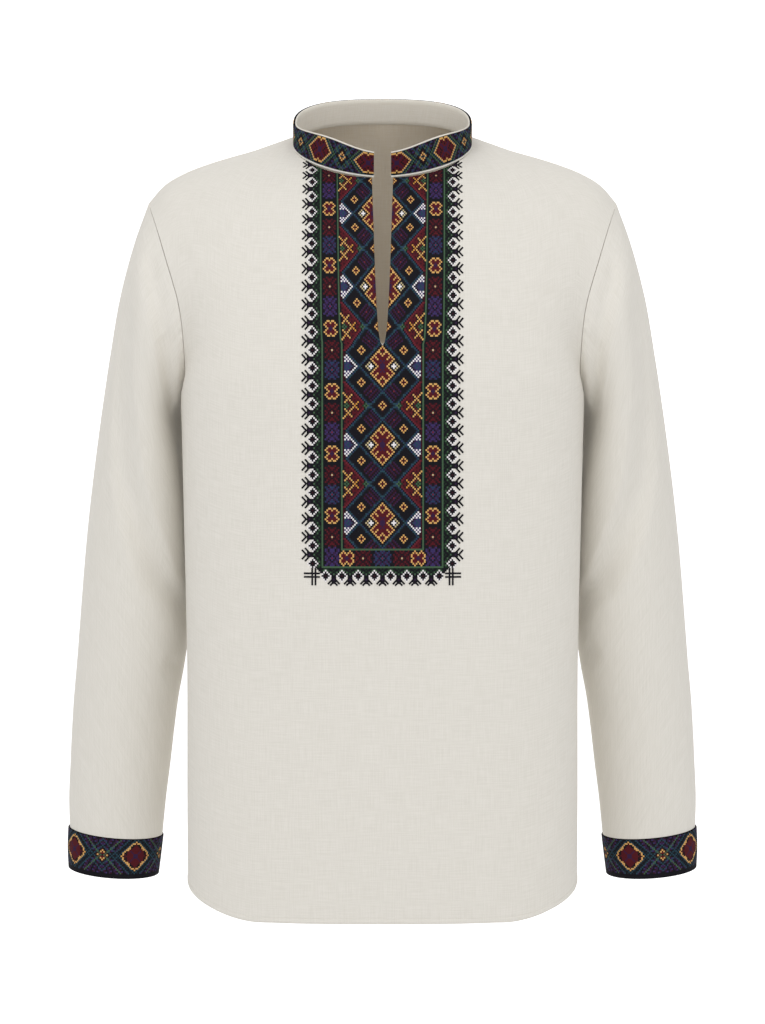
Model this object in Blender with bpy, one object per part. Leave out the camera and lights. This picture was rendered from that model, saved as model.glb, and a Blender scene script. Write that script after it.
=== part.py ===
"""A long-sleeved linen shirt with a low stand collar and a slit at the neck, filled out as when it is worn.

Each cut piece is one object: a thin wall that follows the garment's outer surface. The surface comes from
a few sections: rings around the body, a neckline in a tilted plane, a shoulder seam, an armhole and a row
of rings down the sleeve. Sizes are in millimetres and become metres when a mesh is made. +Z is up, +X is
the wearer's left and the front faces -Y. The origin lies between the high points of the shoulders.
"""

import math
from collections import namedtuple

import bpy
import numpy as np

Place = namedtuple("Place", "x y z")
TorsoSection = namedtuple("TorsoSection", "height half_width front_depth back_depth")
SleeveRing = namedtuple("SleeveRing", "outer_x outer_z inner_x inner_z middle_y half_depth front_drop")
Fold = namedtuple("Fold", "start_turn start_down end_turn end_down half_width depth")

# Cloth
BODY_CLOTH = 1.5
CUFF_CLOTH = 2.0
BAND_CLOTH = 1.2
SEAM_GAP = 0.3
SLEEVE_SEAM_GAP = 0.7
STEEPEST_MITRE = 0.75

# Body below the armholes
UNDERARM_Z = -250.0
WIDEST_Y = -12.0
SIDE_SEAM_Y = 8.0
FRONT_SQUARENESS = 2.8
BACK_SQUARENESS = 2.0
TORSO_SECTIONS = (
    TorsoSection(-250.0, 195.6, 113.0, 142.0),
    TorsoSection(-370.0, 193.0, 112.0, 138.0),
    TorsoSection(-506.0, 190.6, 111.0, 131.0),
    TorsoSection(-645.0, 190.8, 111.5, 134.0),
    TorsoSection(-770.0, 190.4, 112.0, 138.0),
)

# Hem: level at the middle of each panel and raised round the side seams
HEM_FRONT_Z = -748.5
HEM_BACK_Z = -758.0
HEM_SIDE_Z = -719.5
HEM_CURVE_REACH = 146.0
HEM_CURVE_POWER = 0.7

# Neckline, an egg-shaped outline in a plane that drops to the front: pointed ahead and full behind
NECK_HALF_WIDTH = 86.0
NECK_FRONT_DEPTH = 63.0
NECK_BACK_DEPTH = 52.0
NECK_CENTRE_Y = 23.5
NECK_CENTRE_Z = -6.55
NECK_TILT = math.radians(24.0)
NECK_FRONT_SQUARENESS = 1.8
NECK_BACK_SQUARENESS = 2.6

# Shoulder seam, from the neckline out to the armhole
SHOULDER_SEAM = (
    Place(97.0, 44.0, -0.4),
    Place(125.0, 38.0, -10.0),
    Place(158.0, 31.0, -19.4),
    Place(187.0, 24.0, -29.4),
    Place(210.0, 19.0, -41.5),
)
SHOULDER_TIP = Place(228.0, 15.0, -61.0)
SHOULDER_START_Y = 48.0

# Armhole, up the front and down the back
ARMHOLE_FRONT = (
    Place(191.5, -38.0, -212.0),
    Place(196.5, -54.0, -156.0),
    Place(208.0, -42.0, -117.0),
    Place(220.0, -16.0, -81.0),
)
ARMHOLE_BACK = (
    Place(220.0, 44.0, -79.0),
    Place(208.0, 66.0, -115.0),
    Place(197.5, 74.0, -158.0),
    Place(190.5, 56.0, -212.0),
)

# How the chest and the upper back curve in to the neck and over the shoulder
CURVE_PULL = 1.1
FRONT_NECK_LEAN = 47.0
BACK_NECK_LEAN = 38.0
NECK_SIDE_LEAN = 74.0
SHOULDER_LEAN = 88.0
NECK_SIDE_TURN = 45.0
SMOOTHING_PASSES = 12
SMOOTHING_FADE = 0.3
ARMHOLE_REACH_POWER = 3.0

# Neck slit
SLIT_START = 0.25
SLIT_HALF_GAP = 10.0
SLIT_POWER = 0.4
SLIT_REACH = 75.0

# Sleeve rings, from the armhole down to the cuff
SLEEVE_RINGS = (
    SleeveRing(241.0, -97.0, 203.0, -262.0, 12.0, 67.0, 0.0),
    SleeveRing(253.0, -138.0, 206.0, -272.0, 16.0, 69.0, 0.0),
    SleeveRing(264.0, -195.0, 204.0, -286.0, 21.0, 70.0, 0.0),
    SleeveRing(273.0, -250.0, 198.5, -307.0, 26.0, 68.5, 0.0),
    SleeveRing(280.5, -302.0, 193.0, -336.0, 30.0, 66.0, 0.0),
    SleeveRing(287.5, -356.0, 189.5, -374.0, 34.0, 63.0, 0.5),
    SleeveRing(293.5, -413.0, 189.5, -421.0, 38.0, 60.0, 1.0),
    SleeveRing(298.0, -465.0, 189.8, -467.0, 42.0, 57.0, 1.5),
    SleeveRing(302.0, -512.0, 195.0, -512.0, 46.0, 53.0, 2.0),
    SleeveRing(306.3, -558.0, 203.0, -556.0, 50.0, 48.5, 2.5),
    SleeveRing(309.5, -612.0, 209.5, -609.0, 54.0, 44.0, 3.0),
    SleeveRing(311.5, -655.0, 215.5, -656.0, 57.0, 40.0, 3.5),
    SleeveRing(311.0, -680.0, 218.8, -688.0, 58.5, 37.5, 3.5),
)
CUFF_RINGS = (
    SleeveRing(312.0, -680.4, 218.2, -688.4, 58.5, 38.1, 3.5),
    SleeveRing(312.8, -701.0, 220.6, -708.0, 60.0, 37.9, 3.5),
    SleeveRing(312.2, -721.5, 223.2, -728.0, 61.5, 37.4, 3.5),
)

# Large folds of a sleeve: turn runs 0 at the outer side, 0.25 at the front, 0.5 at the inner side
# and 0.75 at the back; down runs from the armhole, 0, to the cuff, 1
SLEEVE_FOLDS = (
    Fold(0.15, 0.06, 0.38, 0.17, 17.0, 6.5),
    Fold(0.38, 0.15, 0.47, 0.26, 15.0, 7.0),
    Fold(0.16, 0.27, 0.24, 0.46, 18.0, 3.5),
    Fold(0.24, 0.46, 0.44, 0.63, 17.0, 4.0),
    Fold(0.86, 0.09, 0.62, 0.24, 18.0, 5.5),
    Fold(0.80, 0.34, 0.58, 0.56, 18.0, 3.5),
)
SLEEVE_LENGTH = 640.0
SLEEVE_GIRTH = 350.0
FOLD_FADE_ROWS = 2

# Collar and piping, built up from the neckline along the neck's axis
PIPING_RADIUS = 1.0
PIPING_SIDES = 6
COLLAR_TOP = 25.2
FACING_TOP = 25.8
COLLAR_HALF_GAP = 8.3
COLLAR_OUTSET = 0.6
# Between its front ends and the sides the collar leans in and stands a little higher
COLLAR_LEAN = 0.28
COLLAR_SWELL = 0.17

# How finely each piece is divided
NECK_COLUMNS = 6
SHOULDER_COLUMNS = 7
LOWER_ROWS = 11
UPPER_ROWS = 12
SLEEVE_ROWS = 16
CUFF_COLUMNS = 32
COLLAR_COLUMNS = 44
DENSE = 240

FRONT = -1
BACK = 1
METRES = 0.001


def smooth_through(stations, count=DENSE):
    """A smooth open curve through the stations, as `count` points evenly spaced along it."""
    stations = np.array(stations, float)
    knots = np.concatenate([[0.0], np.cumsum(np.linalg.norm(np.diff(stations, axis=0), axis=1))])
    slopes = np.gradient(stations, knots, axis=0)
    fine = np.linspace(0.0, knots[-1], count)
    points = hermite_rows(knots, stations, slopes, fine)
    return even_spacing(points, np.linspace(0.0, 1.0, count))


def hermite_rows(knots, values, slopes, where):
    """Cubic through the values at the knots, read at each place in `where`."""
    index = np.clip(np.searchsorted(knots, where, side="right") - 1, 0, len(knots) - 2)
    step = knots[index + 1] - knots[index]
    share = (where - knots[index]) / step
    share = share[:, None]
    step = step[:, None]
    start = (1 + 2 * share) * (1 - share) ** 2 * values[index]
    leave = share * (1 - share) ** 2 * step * slopes[index]
    end = share**2 * (3 - 2 * share) * values[index + 1]
    arrive = share**2 * (share - 1) * step * slopes[index + 1]
    return start + leave + end + arrive


def even_spacing(points, shares):
    """The points of a polyline at the given shares of its length."""
    length = np.concatenate([[0.0], np.cumsum(np.linalg.norm(np.diff(points, axis=0), axis=1))])
    places = np.array(shares) * length[-1]
    return np.stack([np.interp(places, length, points[:, axis]) for axis in range(3)], axis=1)


def rounded(value, squareness):
    """A cosine or sine bent towards the sides of a box: 2 leaves an ellipse."""
    return np.sign(value) * np.abs(value) ** (2.0 / squareness)


def torso_sizes(height):
    """Half width, front depth and back depth of the body's section at this height."""
    table = np.array(TORSO_SECTIONS)[::-1]
    slopes = np.gradient(table[:, 1:], table[:, 0], axis=0)
    return hermite_rows(table[:, 0], table[:, 1:], slopes, np.array([height]))[0]


def torso_half_ring(side, height):
    """The section from the middle of a panel round to the left side seam, as a fine polyline."""
    half_width, front_depth, back_depth = torso_sizes(height)
    angles = np.linspace(0.0, math.pi, DENSE)
    depth = np.where(angles < math.pi / 2, front_depth, back_depth)
    power = np.where(angles < math.pi / 2, FRONT_SQUARENESS, BACK_SQUARENESS)
    x = half_width * rounded(np.sin(angles), power)
    y = WIDEST_Y - depth * rounded(np.cos(angles), power)
    ring = np.stack([x, y, np.full(DENSE, height)], axis=1)
    kept = ring[y < SIDE_SEAM_Y] if side == FRONT else ring[y > SIDE_SEAM_Y][::-1]
    behind = SIDE_SEAM_Y - WIDEST_Y
    seam_x = half_width * (1 - (behind / back_depth) ** BACK_SQUARENESS) ** (1 / BACK_SQUARENESS)
    return np.vstack([kept, [seam_x, SIDE_SEAM_Y, height]])


def torso_point(side, share, height):
    """A point of the body's section, `share` of the way from the panel's middle to its side seam."""
    return even_spacing(torso_half_ring(side, height), [share])[0]


def hem_height(side, share):
    """Height of the hem at this share of the half panel."""
    middle = HEM_FRONT_Z if side == FRONT else HEM_BACK_Z
    ring = torso_half_ring(side, middle)
    from_seam = (1 - share) * np.linalg.norm(np.diff(ring, axis=0), axis=1).sum()
    swing = 0.5 + 0.5 * math.cos(math.pi * min(from_seam / HEM_CURVE_REACH, 1.0))
    return middle + (HEM_SIDE_Z - middle) * swing**HEM_CURVE_POWER


def neck_axis():
    """Direction in which the collar stands."""
    return np.array([0.0, -math.sin(NECK_TILT), math.cos(NECK_TILT)])


def neck_point(turn, outset=0.0, rise=0.0):
    """A point of the neckline, or of the collar at some rise: turn 0 in front, 0.5 at the left side, 1 behind."""
    angle = math.pi * turn
    ahead = turn < 0.5
    depth = NECK_FRONT_DEPTH if ahead else NECK_BACK_DEPTH
    squareness = NECK_FRONT_SQUARENESS if ahead else NECK_BACK_SQUARENESS
    corner = math.sin(2 * angle) ** 2 if ahead else 0.0
    outset = outset - COLLAR_LEAN * corner * rise
    rise = rise * (1 + COLLAR_SWELL * corner)
    across = rounded(math.sin(angle), squareness)
    along = rounded(math.cos(angle), squareness)
    x = (NECK_HALF_WIDTH + outset) * across
    y = NECK_CENTRE_Y - (depth + outset) * along
    z = NECK_CENTRE_Z + math.tan(NECK_TILT) * (y - NECK_CENTRE_Y)
    return np.array([x, y, z]) + rise * neck_axis()


def neck_arc(side):
    """The neckline from the middle of a panel to the shoulder seam, as a fine polyline."""
    start = 0.0 if side == FRONT else 1.0
    points = np.array([neck_point(turn) for turn in np.linspace(start, 0.5, DENSE)])
    if side == FRONT:
        rest = np.array([neck_point(turn) for turn in np.linspace(0.5, 1.0, DENSE)])
        return np.vstack([points, rest[rest[:, 1] < SHOULDER_START_Y]])
    return points[points[:, 1] > SHOULDER_START_Y]


def shoulder_start():
    """Where the shoulder seam meets the neckline."""
    return neck_arc(FRONT)[-1]


def top_edge(side):
    """The panel's top edge: neckline, then shoulder seam, a point for each column of the half panel."""
    neck = even_spacing(neck_arc(side), np.linspace(0.0, 1.0, NECK_COLUMNS + 1))
    neck[-1] = shoulder_start()
    seam = smooth_through([shoulder_start(), *SHOULDER_SEAM, SHOULDER_TIP])
    seam = even_spacing(seam, np.linspace(0.0, 1.0, SHOULDER_COLUMNS + 1))
    return np.vstack([neck, seam[1:]])


def armhole_edge(side):
    """Half of the armhole from the underarm up to the shoulder tip, a point for each row."""
    underarm = torso_point(FRONT, 1.0, UNDERARM_Z)
    loop = [ARMHOLE_BACK[-1], underarm, *ARMHOLE_FRONT, SHOULDER_TIP, ARMHOLE_BACK[0]]
    if side == BACK:
        loop = [ARMHOLE_FRONT[0], underarm, *ARMHOLE_BACK[::-1], SHOULDER_TIP, ARMHOLE_FRONT[-1]]
    points = smooth_through(loop, DENSE * 2)
    first = np.argmin(np.linalg.norm(points - underarm, axis=1))
    last = np.argmin(np.linalg.norm(points - np.array(SHOULDER_TIP), axis=1))
    edge = even_spacing(points[first : last + 1], np.linspace(0.0, 1.0, UPPER_ROWS + 1))
    edge[0] = underarm
    edge[-1] = SHOULDER_TIP
    return edge


def lean_at(side, column):
    """Unit direction of the cloth where it reaches the top edge.

    It leans in to the neck at the middle, turns sideways at the side of the neck, and runs straight over
    the shoulder at the tip.
    """
    middle = FRONT_NECK_LEAN if side == FRONT else BACK_NECK_LEAN
    if column <= NECK_COLUMNS:
        share = column / NECK_COLUMNS
        lean = middle + (NECK_SIDE_LEAN - middle) * share
        turn = NECK_SIDE_TURN * share
    else:
        share = (column - NECK_COLUMNS) / SHOULDER_COLUMNS
        lean = NECK_SIDE_LEAN + (SHOULDER_LEAN - NECK_SIDE_LEAN) * share
        turn = NECK_SIDE_TURN * (1 - share) ** 2
    lean = math.radians(lean)
    turn = math.radians(turn)
    inward = -side * math.cos(turn)
    return np.array([-math.sin(turn) * math.sin(lean), inward * math.sin(lean), math.cos(lean)])


def rising_curve(side, column, foot, head):
    """Points from the underarm level up to the top edge, upright at the foot and leaning at the head."""
    pull = CURVE_PULL * np.linalg.norm(head - foot)
    leave = np.array([0.0, 0.0, pull])
    arrive = lean_at(side, column) * pull
    arrive[0] += (head[0] - foot[0]) * max(column - NECK_COLUMNS, 0) / SHOULDER_COLUMNS
    share = np.linspace(0.0, 1.0, UPPER_ROWS + 1)
    slopes = np.array([leave, arrive])
    return hermite_rows(np.array([0.0, 1.0]), np.array([foot, head]), slopes, share)


def half_panel(side):
    """The left half of the front or back as a grid of points, rows from the hem up and columns outward."""
    columns = NECK_COLUMNS + SHOULDER_COLUMNS
    head = top_edge(side)
    armhole = armhole_edge(side)
    lower = []
    upper = []
    for column in range(columns + 1):
        share = column / columns
        hem = hem_height(side, share)
        heights = np.linspace(hem, UNDERARM_Z, LOWER_ROWS + 1)
        lower.append([torso_point(side, share, height) for height in heights])
        upper.append(rising_curve(side, column, lower[-1][-1], head[column]))
    miss = armhole - upper[-1]
    for column in range(columns + 1):
        reach = (column / columns) ** ARMHOLE_REACH_POWER
        upper[column] = upper[column] + reach * miss
    upper = smoothed_across(np.array(upper))
    grid = np.concatenate([np.array(lower), upper[:, 1:]], axis=1)
    return grid.transpose(1, 0, 2)


def smoothed_across(columns):
    """The columns above the armhole's foot evened out from one to the next, fully only at mid height."""
    even = columns.copy()
    mirror = np.array([-1.0, 1.0, 1.0])
    for _ in range(SMOOTHING_PASSES):
        beside = np.concatenate([even[1:2] * mirror, even], axis=0)
        even[:-1] = even[:-1] / 2 + (beside[:-2] + even[1:]) / 4
        even[0, :, 0] = 0.0
    up = np.linspace(0.0, 1.0, UPPER_ROWS + 1)
    share = np.clip(np.minimum(up, 1 - up) / SMOOTHING_FADE, 0.0, 1.0)
    share = (share**2 * (3 - 2 * share))[None, :, None]
    return columns + share * (even - columns)


def slit_half_gap(row):
    """Half the width of the neck slit at this row of the panel."""
    up = (row - LOWER_ROWS) / UPPER_ROWS
    return SLIT_HALF_GAP * max((up - SLIT_START) / (1 - SLIT_START), 0.0) ** SLIT_POWER


def with_slit(grid):
    """The half panel with its middle moved aside to leave the slit."""
    grid = grid.copy()
    for row in range(len(grid)):
        gap = slit_half_gap(row)
        near = np.clip(1 - grid[row, :, 0] / SLIT_REACH, 0.0, 1.0)
        grid[row, :, 0] += gap * near
    return grid


def ring_points(ring, count):
    """A sleeve or cuff ring of `count` points: from the outer side to the front, inner side and back."""
    angles = np.linspace(0.0, 2 * math.pi, count, endpoint=False)
    outward = 0.5 + np.cos(angles) / 2
    forward = np.sin(angles)
    x = ring.inner_x + (ring.outer_x - ring.inner_x) * outward
    y = ring.middle_y - ring.half_depth * forward
    z = ring.inner_z + (ring.outer_z - ring.inner_z) * outward - ring.front_drop * forward
    return np.stack([x, y, z], axis=1)


def normals_of(grid, closed=False):
    """Unit normals of a grid of points, on the side where columns turned to rows point."""
    if closed:
        along = np.roll(grid, -1, axis=1) - np.roll(grid, 1, axis=1)
    else:
        along = np.gradient(grid, axis=1)
    up = np.gradient(grid, axis=0)
    normals = np.cross(along, up)
    return normals / np.linalg.norm(normals, axis=2, keepdims=True)


def fold_depth(turn, down):
    """How far the sleeve's cloth sinks at this place."""
    total = 0.0
    for fold in SLEEVE_FOLDS:
        start = np.array([fold.start_turn * SLEEVE_GIRTH, fold.start_down * SLEEVE_LENGTH])
        way = np.array([fold.end_turn * SLEEVE_GIRTH, fold.end_down * SLEEVE_LENGTH]) - start
        here = np.array([turn * SLEEVE_GIRTH, down * SLEEVE_LENGTH]) - start
        share = here @ way / (way @ way)
        aside = np.linalg.norm(here - way * min(max(share, 0.0), 1.0))
        total += fold.depth * math.exp(-((aside / fold.half_width) ** 2))
    return total


def sleeve_grid():
    """The left sleeve as a grid of points, rows from the armhole down and columns round it."""
    front = armhole_edge(FRONT)[::-1]
    back = armhole_edge(BACK)
    armhole = np.vstack([front, back[1:-1]])
    count = len(armhole)
    rings = np.array([armhole] + [ring_points(row, count) for row in SLEEVE_RINGS])
    middles = rings.mean(axis=1)
    knots = np.concatenate([[0.0], np.cumsum(np.linalg.norm(np.diff(middles, axis=0), axis=1))])
    flat = rings.reshape(len(rings), -1)
    slopes = np.gradient(flat, knots, axis=0)
    places = np.linspace(0.0, knots[-1], SLEEVE_ROWS + 1)
    grid = hermite_rows(knots, flat, slopes, places).reshape(SLEEVE_ROWS + 1, count, 3)
    outward = normals_of(grid, closed=True)
    for row in range(1, SLEEVE_ROWS):
        fade = min(row / FOLD_FADE_ROWS, (SLEEVE_ROWS - row) / FOLD_FADE_ROWS, 1.0)
        for column in range(count):
            sink = fade * fold_depth(column / count, row / SLEEVE_ROWS)
            grid[row, column] -= sink * outward[row, column]
    return grid


def pulled_in(grid, distance):
    """The grid with its first row drawn back towards the next by this distance."""
    grid = grid.copy()
    way = grid[1] - grid[0]
    grid[0] += distance * way / np.linalg.norm(way, axis=1, keepdims=True)
    return grid


def trimmed_panel(grid):
    """The half panel with its top edge and its side drawn back by half the seam gap."""
    grid = pulled_in(grid[::-1], SEAM_GAP / 2)[::-1]
    sideways = grid.transpose(1, 0, 2)[::-1]
    return pulled_in(sideways, SEAM_GAP / 2)[::-1].transpose(1, 0, 2)


def mitre(first, second):
    """The direction halfway between two unit normals, longer where the cloth turns a corner."""
    both = first + second
    both = both / np.linalg.norm(both, axis=-1, keepdims=True)
    turn = np.clip((both * first).sum(axis=-1, keepdims=True), STEEPEST_MITRE, 1.0)
    return both / turn


def paint(name, colour, roughness):
    """A plain Principled material."""
    material = bpy.data.materials.new(name)
    material.use_nodes = True
    shader = material.node_tree.nodes["Principled BSDF"]
    shader.inputs["Base Color"].default_value = (*colour, 1.0)
    shader.inputs["Roughness"].default_value = roughness
    shader.inputs["Metallic"].default_value = 0.0
    material.diffuse_color = (*colour, 1.0)
    return material


def add_piece(name, points, faces, material):
    """A mesh object from points in millimetres."""
    mesh = bpy.data.meshes.new(name)
    mesh.from_pydata([tuple(point) for point in np.array(points) * METRES], [], faces)
    mesh.update()
    mesh.shade_smooth()
    mesh.set_sharp_from_angle(angle=math.radians(50.0))
    piece = bpy.data.objects.new(name, mesh)
    piece.data.materials.append(material)
    bpy.context.scene.collection.objects.link(piece)
    return piece


def grid_faces(rows, columns, closed):
    """Two triangles for each cell of a grid whose vertices are numbered row by row."""
    faces = []
    last = columns if closed else columns - 1
    for row in range(rows - 1):
        for column in range(last):
            beside = (column + 1) % columns
            low_here, low_beside = row * columns + column, row * columns + beside
            high_here, high_beside = low_here + columns, low_beside + columns
            faces.append((low_here, low_beside, high_beside))
            faces.append((low_here, high_beside, high_here))
    return faces


def boundary_edges(faces):
    """The directed edges that only one face has."""
    directed = {(a, b) for face in faces for a, b in zip(face, (*face[1:], face[0]))}
    return [(a, b) for a, b in sorted(directed) if (b, a) not in directed]


def facing_out(points, inward, faces):
    """The faces turned so that they look away from the inward steps."""
    first, second, third = (points[list(corner)] for corner in zip(*faces))
    ways = inward[[face[0] for face in faces]]
    looks_in = (np.cross(second - first, third - first) * ways).sum() > 0
    return [tuple(reversed(face)) for face in faces] if looks_in else faces


def walled(points, inward, faces):
    """A closed wall: the outer faces, the same faces moved inward and turned round, and the rims."""
    faces = facing_out(points, inward, faces)
    count = len(points)
    inner = [tuple(vertex + count for vertex in reversed(face)) for face in faces]
    rims = [(b, a, a + count, b + count) for a, b in boundary_edges(faces)]
    return np.vstack([points, points + inward]), [*faces, *inner, *rims]


def mirrored(grid):
    """The grid on the other side of the body."""
    return grid * np.array([-1.0, 1.0, 1.0])


def whole_panel(half, half_normals, thickness, slit_row=None):
    """Points, inward steps and faces of a panel made of a half and its mirror image.

    The two halves share their middle column, but for the rows above the slit's start.
    """
    rows, columns = half.shape[:2]
    left = np.arange(rows * columns).reshape(rows, columns)
    right = left + rows * columns
    shared = rows if slit_row is None else slit_row + 1
    right[:shared, 0] = left[:shared, 0]
    points = np.vstack([half.reshape(-1, 3), mirrored(half).reshape(-1, 3)])
    inward = -thickness * np.vstack([half_normals.reshape(-1, 3), mirrored(half_normals).reshape(-1, 3)])
    left_faces = grid_faces(rows, columns, False)
    right_faces = [tuple(int(right.flat[vertex]) for vertex in reversed(face)) for face in left_faces]
    faces = left_faces + right_faces
    used = sorted({vertex for face in faces for vertex in face})
    renumber = {old: new for new, old in enumerate(used)}
    faces = [tuple(renumber[vertex] for vertex in face) for face in faces]
    return points[used], inward[used], faces


def add_body_and_sleeves(linen):
    """Front, back and both sleeves, which share the directions of their walls along their seams."""
    front = half_panel(FRONT)
    back = half_panel(BACK)
    sleeve = sleeve_grid()
    front_normals = normals_of(front)
    back_normals = -normals_of(back)
    front_normals[:, 0, 0] = 0.0
    back_normals[:, 0, 0] = 0.0
    side = slice(0, LOWER_ROWS + 1)
    shoulder = slice(NECK_COLUMNS, None)
    shared_side = mitre(front_normals[side, -1], back_normals[side, -1])
    shared_top = mitre(front_normals[-1, shoulder], back_normals[-1, shoulder])
    sleeve_normals = normals_of(sleeve, closed=True)
    front_run = sleeve_normals[0, : UPPER_ROWS + 1][::-1]
    back_run = np.vstack([sleeve_normals[0, UPPER_ROWS:], sleeve_normals[0, :1]])
    armhole = slice(LOWER_ROWS, None)
    shared_front = mitre(front_normals[armhole, -1], front_run)
    shared_back = mitre(back_normals[armhole, -1], back_run)
    tip = mitre(mitre(front_normals[-1, -1], back_normals[-1, -1]), front_run[-1])
    foot = mitre(mitre(front_normals[LOWER_ROWS, -1], back_normals[LOWER_ROWS, -1]), front_run[0])
    for shared in (shared_front, shared_back):
        shared[-1] = tip
        shared[0] = foot
    for normals, shared in ((front_normals, shared_front), (back_normals, shared_back)):
        normals[side, -1] = shared_side
        normals[-1, shoulder] = shared_top
        normals[armhole, -1] = shared
    sleeve_normals[0, : UPPER_ROWS + 1] = shared_front[::-1]
    sleeve_normals[0, UPPER_ROWS:] = shared_back[:-1]

    front = trimmed_panel(with_slit(front))
    back = trimmed_panel(back)
    sleeve = pulled_in(sleeve, SLEEVE_SEAM_GAP)
    slit_row = LOWER_ROWS + round(SLIT_START * UPPER_ROWS)
    parts = whole_panel(front, front_normals, BODY_CLOTH, slit_row)
    add_piece("front", *walled(*parts), linen)
    add_piece("back", *walled(*whole_panel(back, back_normals, BODY_CLOTH)), linen)
    add_tube_pair("sleeve", sleeve, sleeve_normals, BODY_CLOTH, linen)


def add_tube_pair(name, grid, normals, thickness, material):
    """A tube of cloth for the left side and its mirror image for the right."""
    faces = grid_faces(grid.shape[0], grid.shape[1], True)
    points = grid.reshape(-1, 3)
    inward = -thickness * normals.reshape(-1, 3)
    add_piece(f"{name}_left", *walled(points, inward, faces), material)
    add_piece(f"{name}_right", *walled(mirrored(points), mirrored(inward), faces), material)


def add_cuffs(material):
    """Both cuffs, each a closed band."""
    grid = np.array([ring_points(row, CUFF_COLUMNS) for row in CUFF_RINGS])
    normals = normals_of(grid, closed=True)
    add_tube_pair("cuff", grid, normals, CUFF_CLOTH, material)


def neck_turns():
    """Places round the neckline for the collar's columns, from the right end round the back to the left."""
    fine = np.linspace(0.0, 1.0, DENSE * 4)
    points = np.array([neck_point(turn) for turn in fine])
    length = np.concatenate([[0.0], np.cumsum(np.linalg.norm(np.diff(points, axis=0), axis=1))])
    start = np.interp(COLLAR_HALF_GAP, points[: DENSE * 2, 0], length[: DENSE * 2])
    half = np.interp(np.linspace(start, length[-1], COLLAR_COLUMNS // 2 + 1), length, fine)
    return half


def neck_ring(outset, rise):
    """Points round the neck from the collar's right end, by the back, to its left end."""
    left = np.array([neck_point(turn, outset, rise) for turn in neck_turns()])
    return np.vstack([mirrored(left), left[-2::-1]])


def add_band(name, outset, bottom, top, thickness, material):
    """A standing band round the neck, open at the front."""
    grid = np.array([neck_ring(outset, rise) for rise in np.linspace(bottom, top, 3)])
    inner = np.array([neck_ring(outset - thickness, rise) for rise in np.linspace(bottom, top, 3)])
    inward = (inner - grid).reshape(-1, 3)
    faces = grid_faces(grid.shape[0], grid.shape[1], False)
    add_piece(name, *walled(grid.reshape(-1, 3), inward, faces), material)


def add_piping(material):
    """The piping: a thin round strip between the body and the collar."""
    path = neck_ring(0.0, SEAM_GAP + PIPING_RADIUS)
    wide = neck_ring(1.0, SEAM_GAP + PIPING_RADIUS) - path
    sides = np.linspace(0.0, 2 * math.pi, PIPING_SIDES, endpoint=False)
    sections = [path + PIPING_RADIUS * (math.cos(a) * wide + math.sin(a) * neck_axis()) for a in sides]
    points = np.array(sections).transpose(1, 0, 2)
    faces = grid_faces(len(path), PIPING_SIDES, True)
    last = (len(path) - 1) * PIPING_SIDES
    faces.append(tuple(range(PIPING_SIDES))[::-1])
    faces.append(tuple(range(last, last + PIPING_SIDES)))
    add_piece("neck_piping", points.reshape(-1, 3), faces, material)


def build():
    """Clears the scene and makes every piece."""
    for old in list(bpy.data.objects):
        bpy.data.objects.remove(old, do_unlink=True)
    linen = paint("ivory linen", (0.72, 0.69, 0.62), 0.9)
    cuff = paint("embroidered linen cuff", (0.07, 0.035, 0.04), 0.85)
    collar = paint("embroidered linen collar", (0.07, 0.035, 0.04), 0.85)
    facing = paint("cream linen facing", (0.74, 0.70, 0.62), 0.9)
    piping = paint("white cotton piping", (0.85, 0.84, 0.8), 0.85)
    add_body_and_sleeves(linen)
    add_cuffs(cuff)
    above_piping = 2 * (SEAM_GAP + PIPING_RADIUS)
    add_band("collar", COLLAR_OUTSET, above_piping, COLLAR_TOP, BAND_CLOTH, collar)
    facing_outset = COLLAR_OUTSET - BAND_CLOTH - SEAM_GAP
    add_band("collar_facing", facing_outset, above_piping, FACING_TOP, BAND_CLOTH, facing)
    add_piping(piping)


build()
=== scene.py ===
"""A hand-embroidered linen shirt, filled out as when it is worn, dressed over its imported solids.

The cloth is built from the same sections and edges as the solids, but finer: each cut piece is a thin wall
that carries its folds, turned edges and seams. The embroidery is worked stitch by stitch from charts that
are kept here as short motifs and rules. Sizes are in millimetres and become metres when a mesh is made.
+Z is up, +X is the wearer's left and the front faces -Y.
"""

import logging
import math
from dataclasses import dataclass, field
from enum import Enum
from typing import Callable, NamedTuple, Optional

import bpy
import numpy as np
from bpy.types import Material, Node, NodeSocket, NodeTree, Object
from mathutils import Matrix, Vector

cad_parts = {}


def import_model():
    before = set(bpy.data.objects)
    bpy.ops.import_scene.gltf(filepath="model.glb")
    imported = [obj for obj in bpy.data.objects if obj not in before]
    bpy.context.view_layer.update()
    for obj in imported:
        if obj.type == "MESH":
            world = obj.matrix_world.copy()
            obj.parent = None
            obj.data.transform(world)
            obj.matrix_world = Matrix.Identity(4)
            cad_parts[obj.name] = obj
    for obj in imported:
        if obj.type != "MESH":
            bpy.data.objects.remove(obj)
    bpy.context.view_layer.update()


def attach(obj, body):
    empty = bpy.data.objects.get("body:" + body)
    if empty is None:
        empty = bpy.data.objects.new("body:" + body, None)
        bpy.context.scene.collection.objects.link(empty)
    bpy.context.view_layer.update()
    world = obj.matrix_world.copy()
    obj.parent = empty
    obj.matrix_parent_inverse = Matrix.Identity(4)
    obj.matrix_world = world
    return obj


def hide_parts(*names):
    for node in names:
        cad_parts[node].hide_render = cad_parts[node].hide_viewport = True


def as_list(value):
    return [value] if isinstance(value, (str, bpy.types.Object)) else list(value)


LOG = logging.getLogger("shirt")
METRES = 0.001
MIRROR = np.array([-1.0, 1.0, 1.0])
# How far apart a wave texture's bands are at scale 1, in metres
WAVE_SPACING = 0.31416
# A fold's low shoulders: how high they are beside its depth, and how far out in half widths
SHOULDER_HEIGHT = 0.22
SHOULDER_AWAY = 2.1


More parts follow.
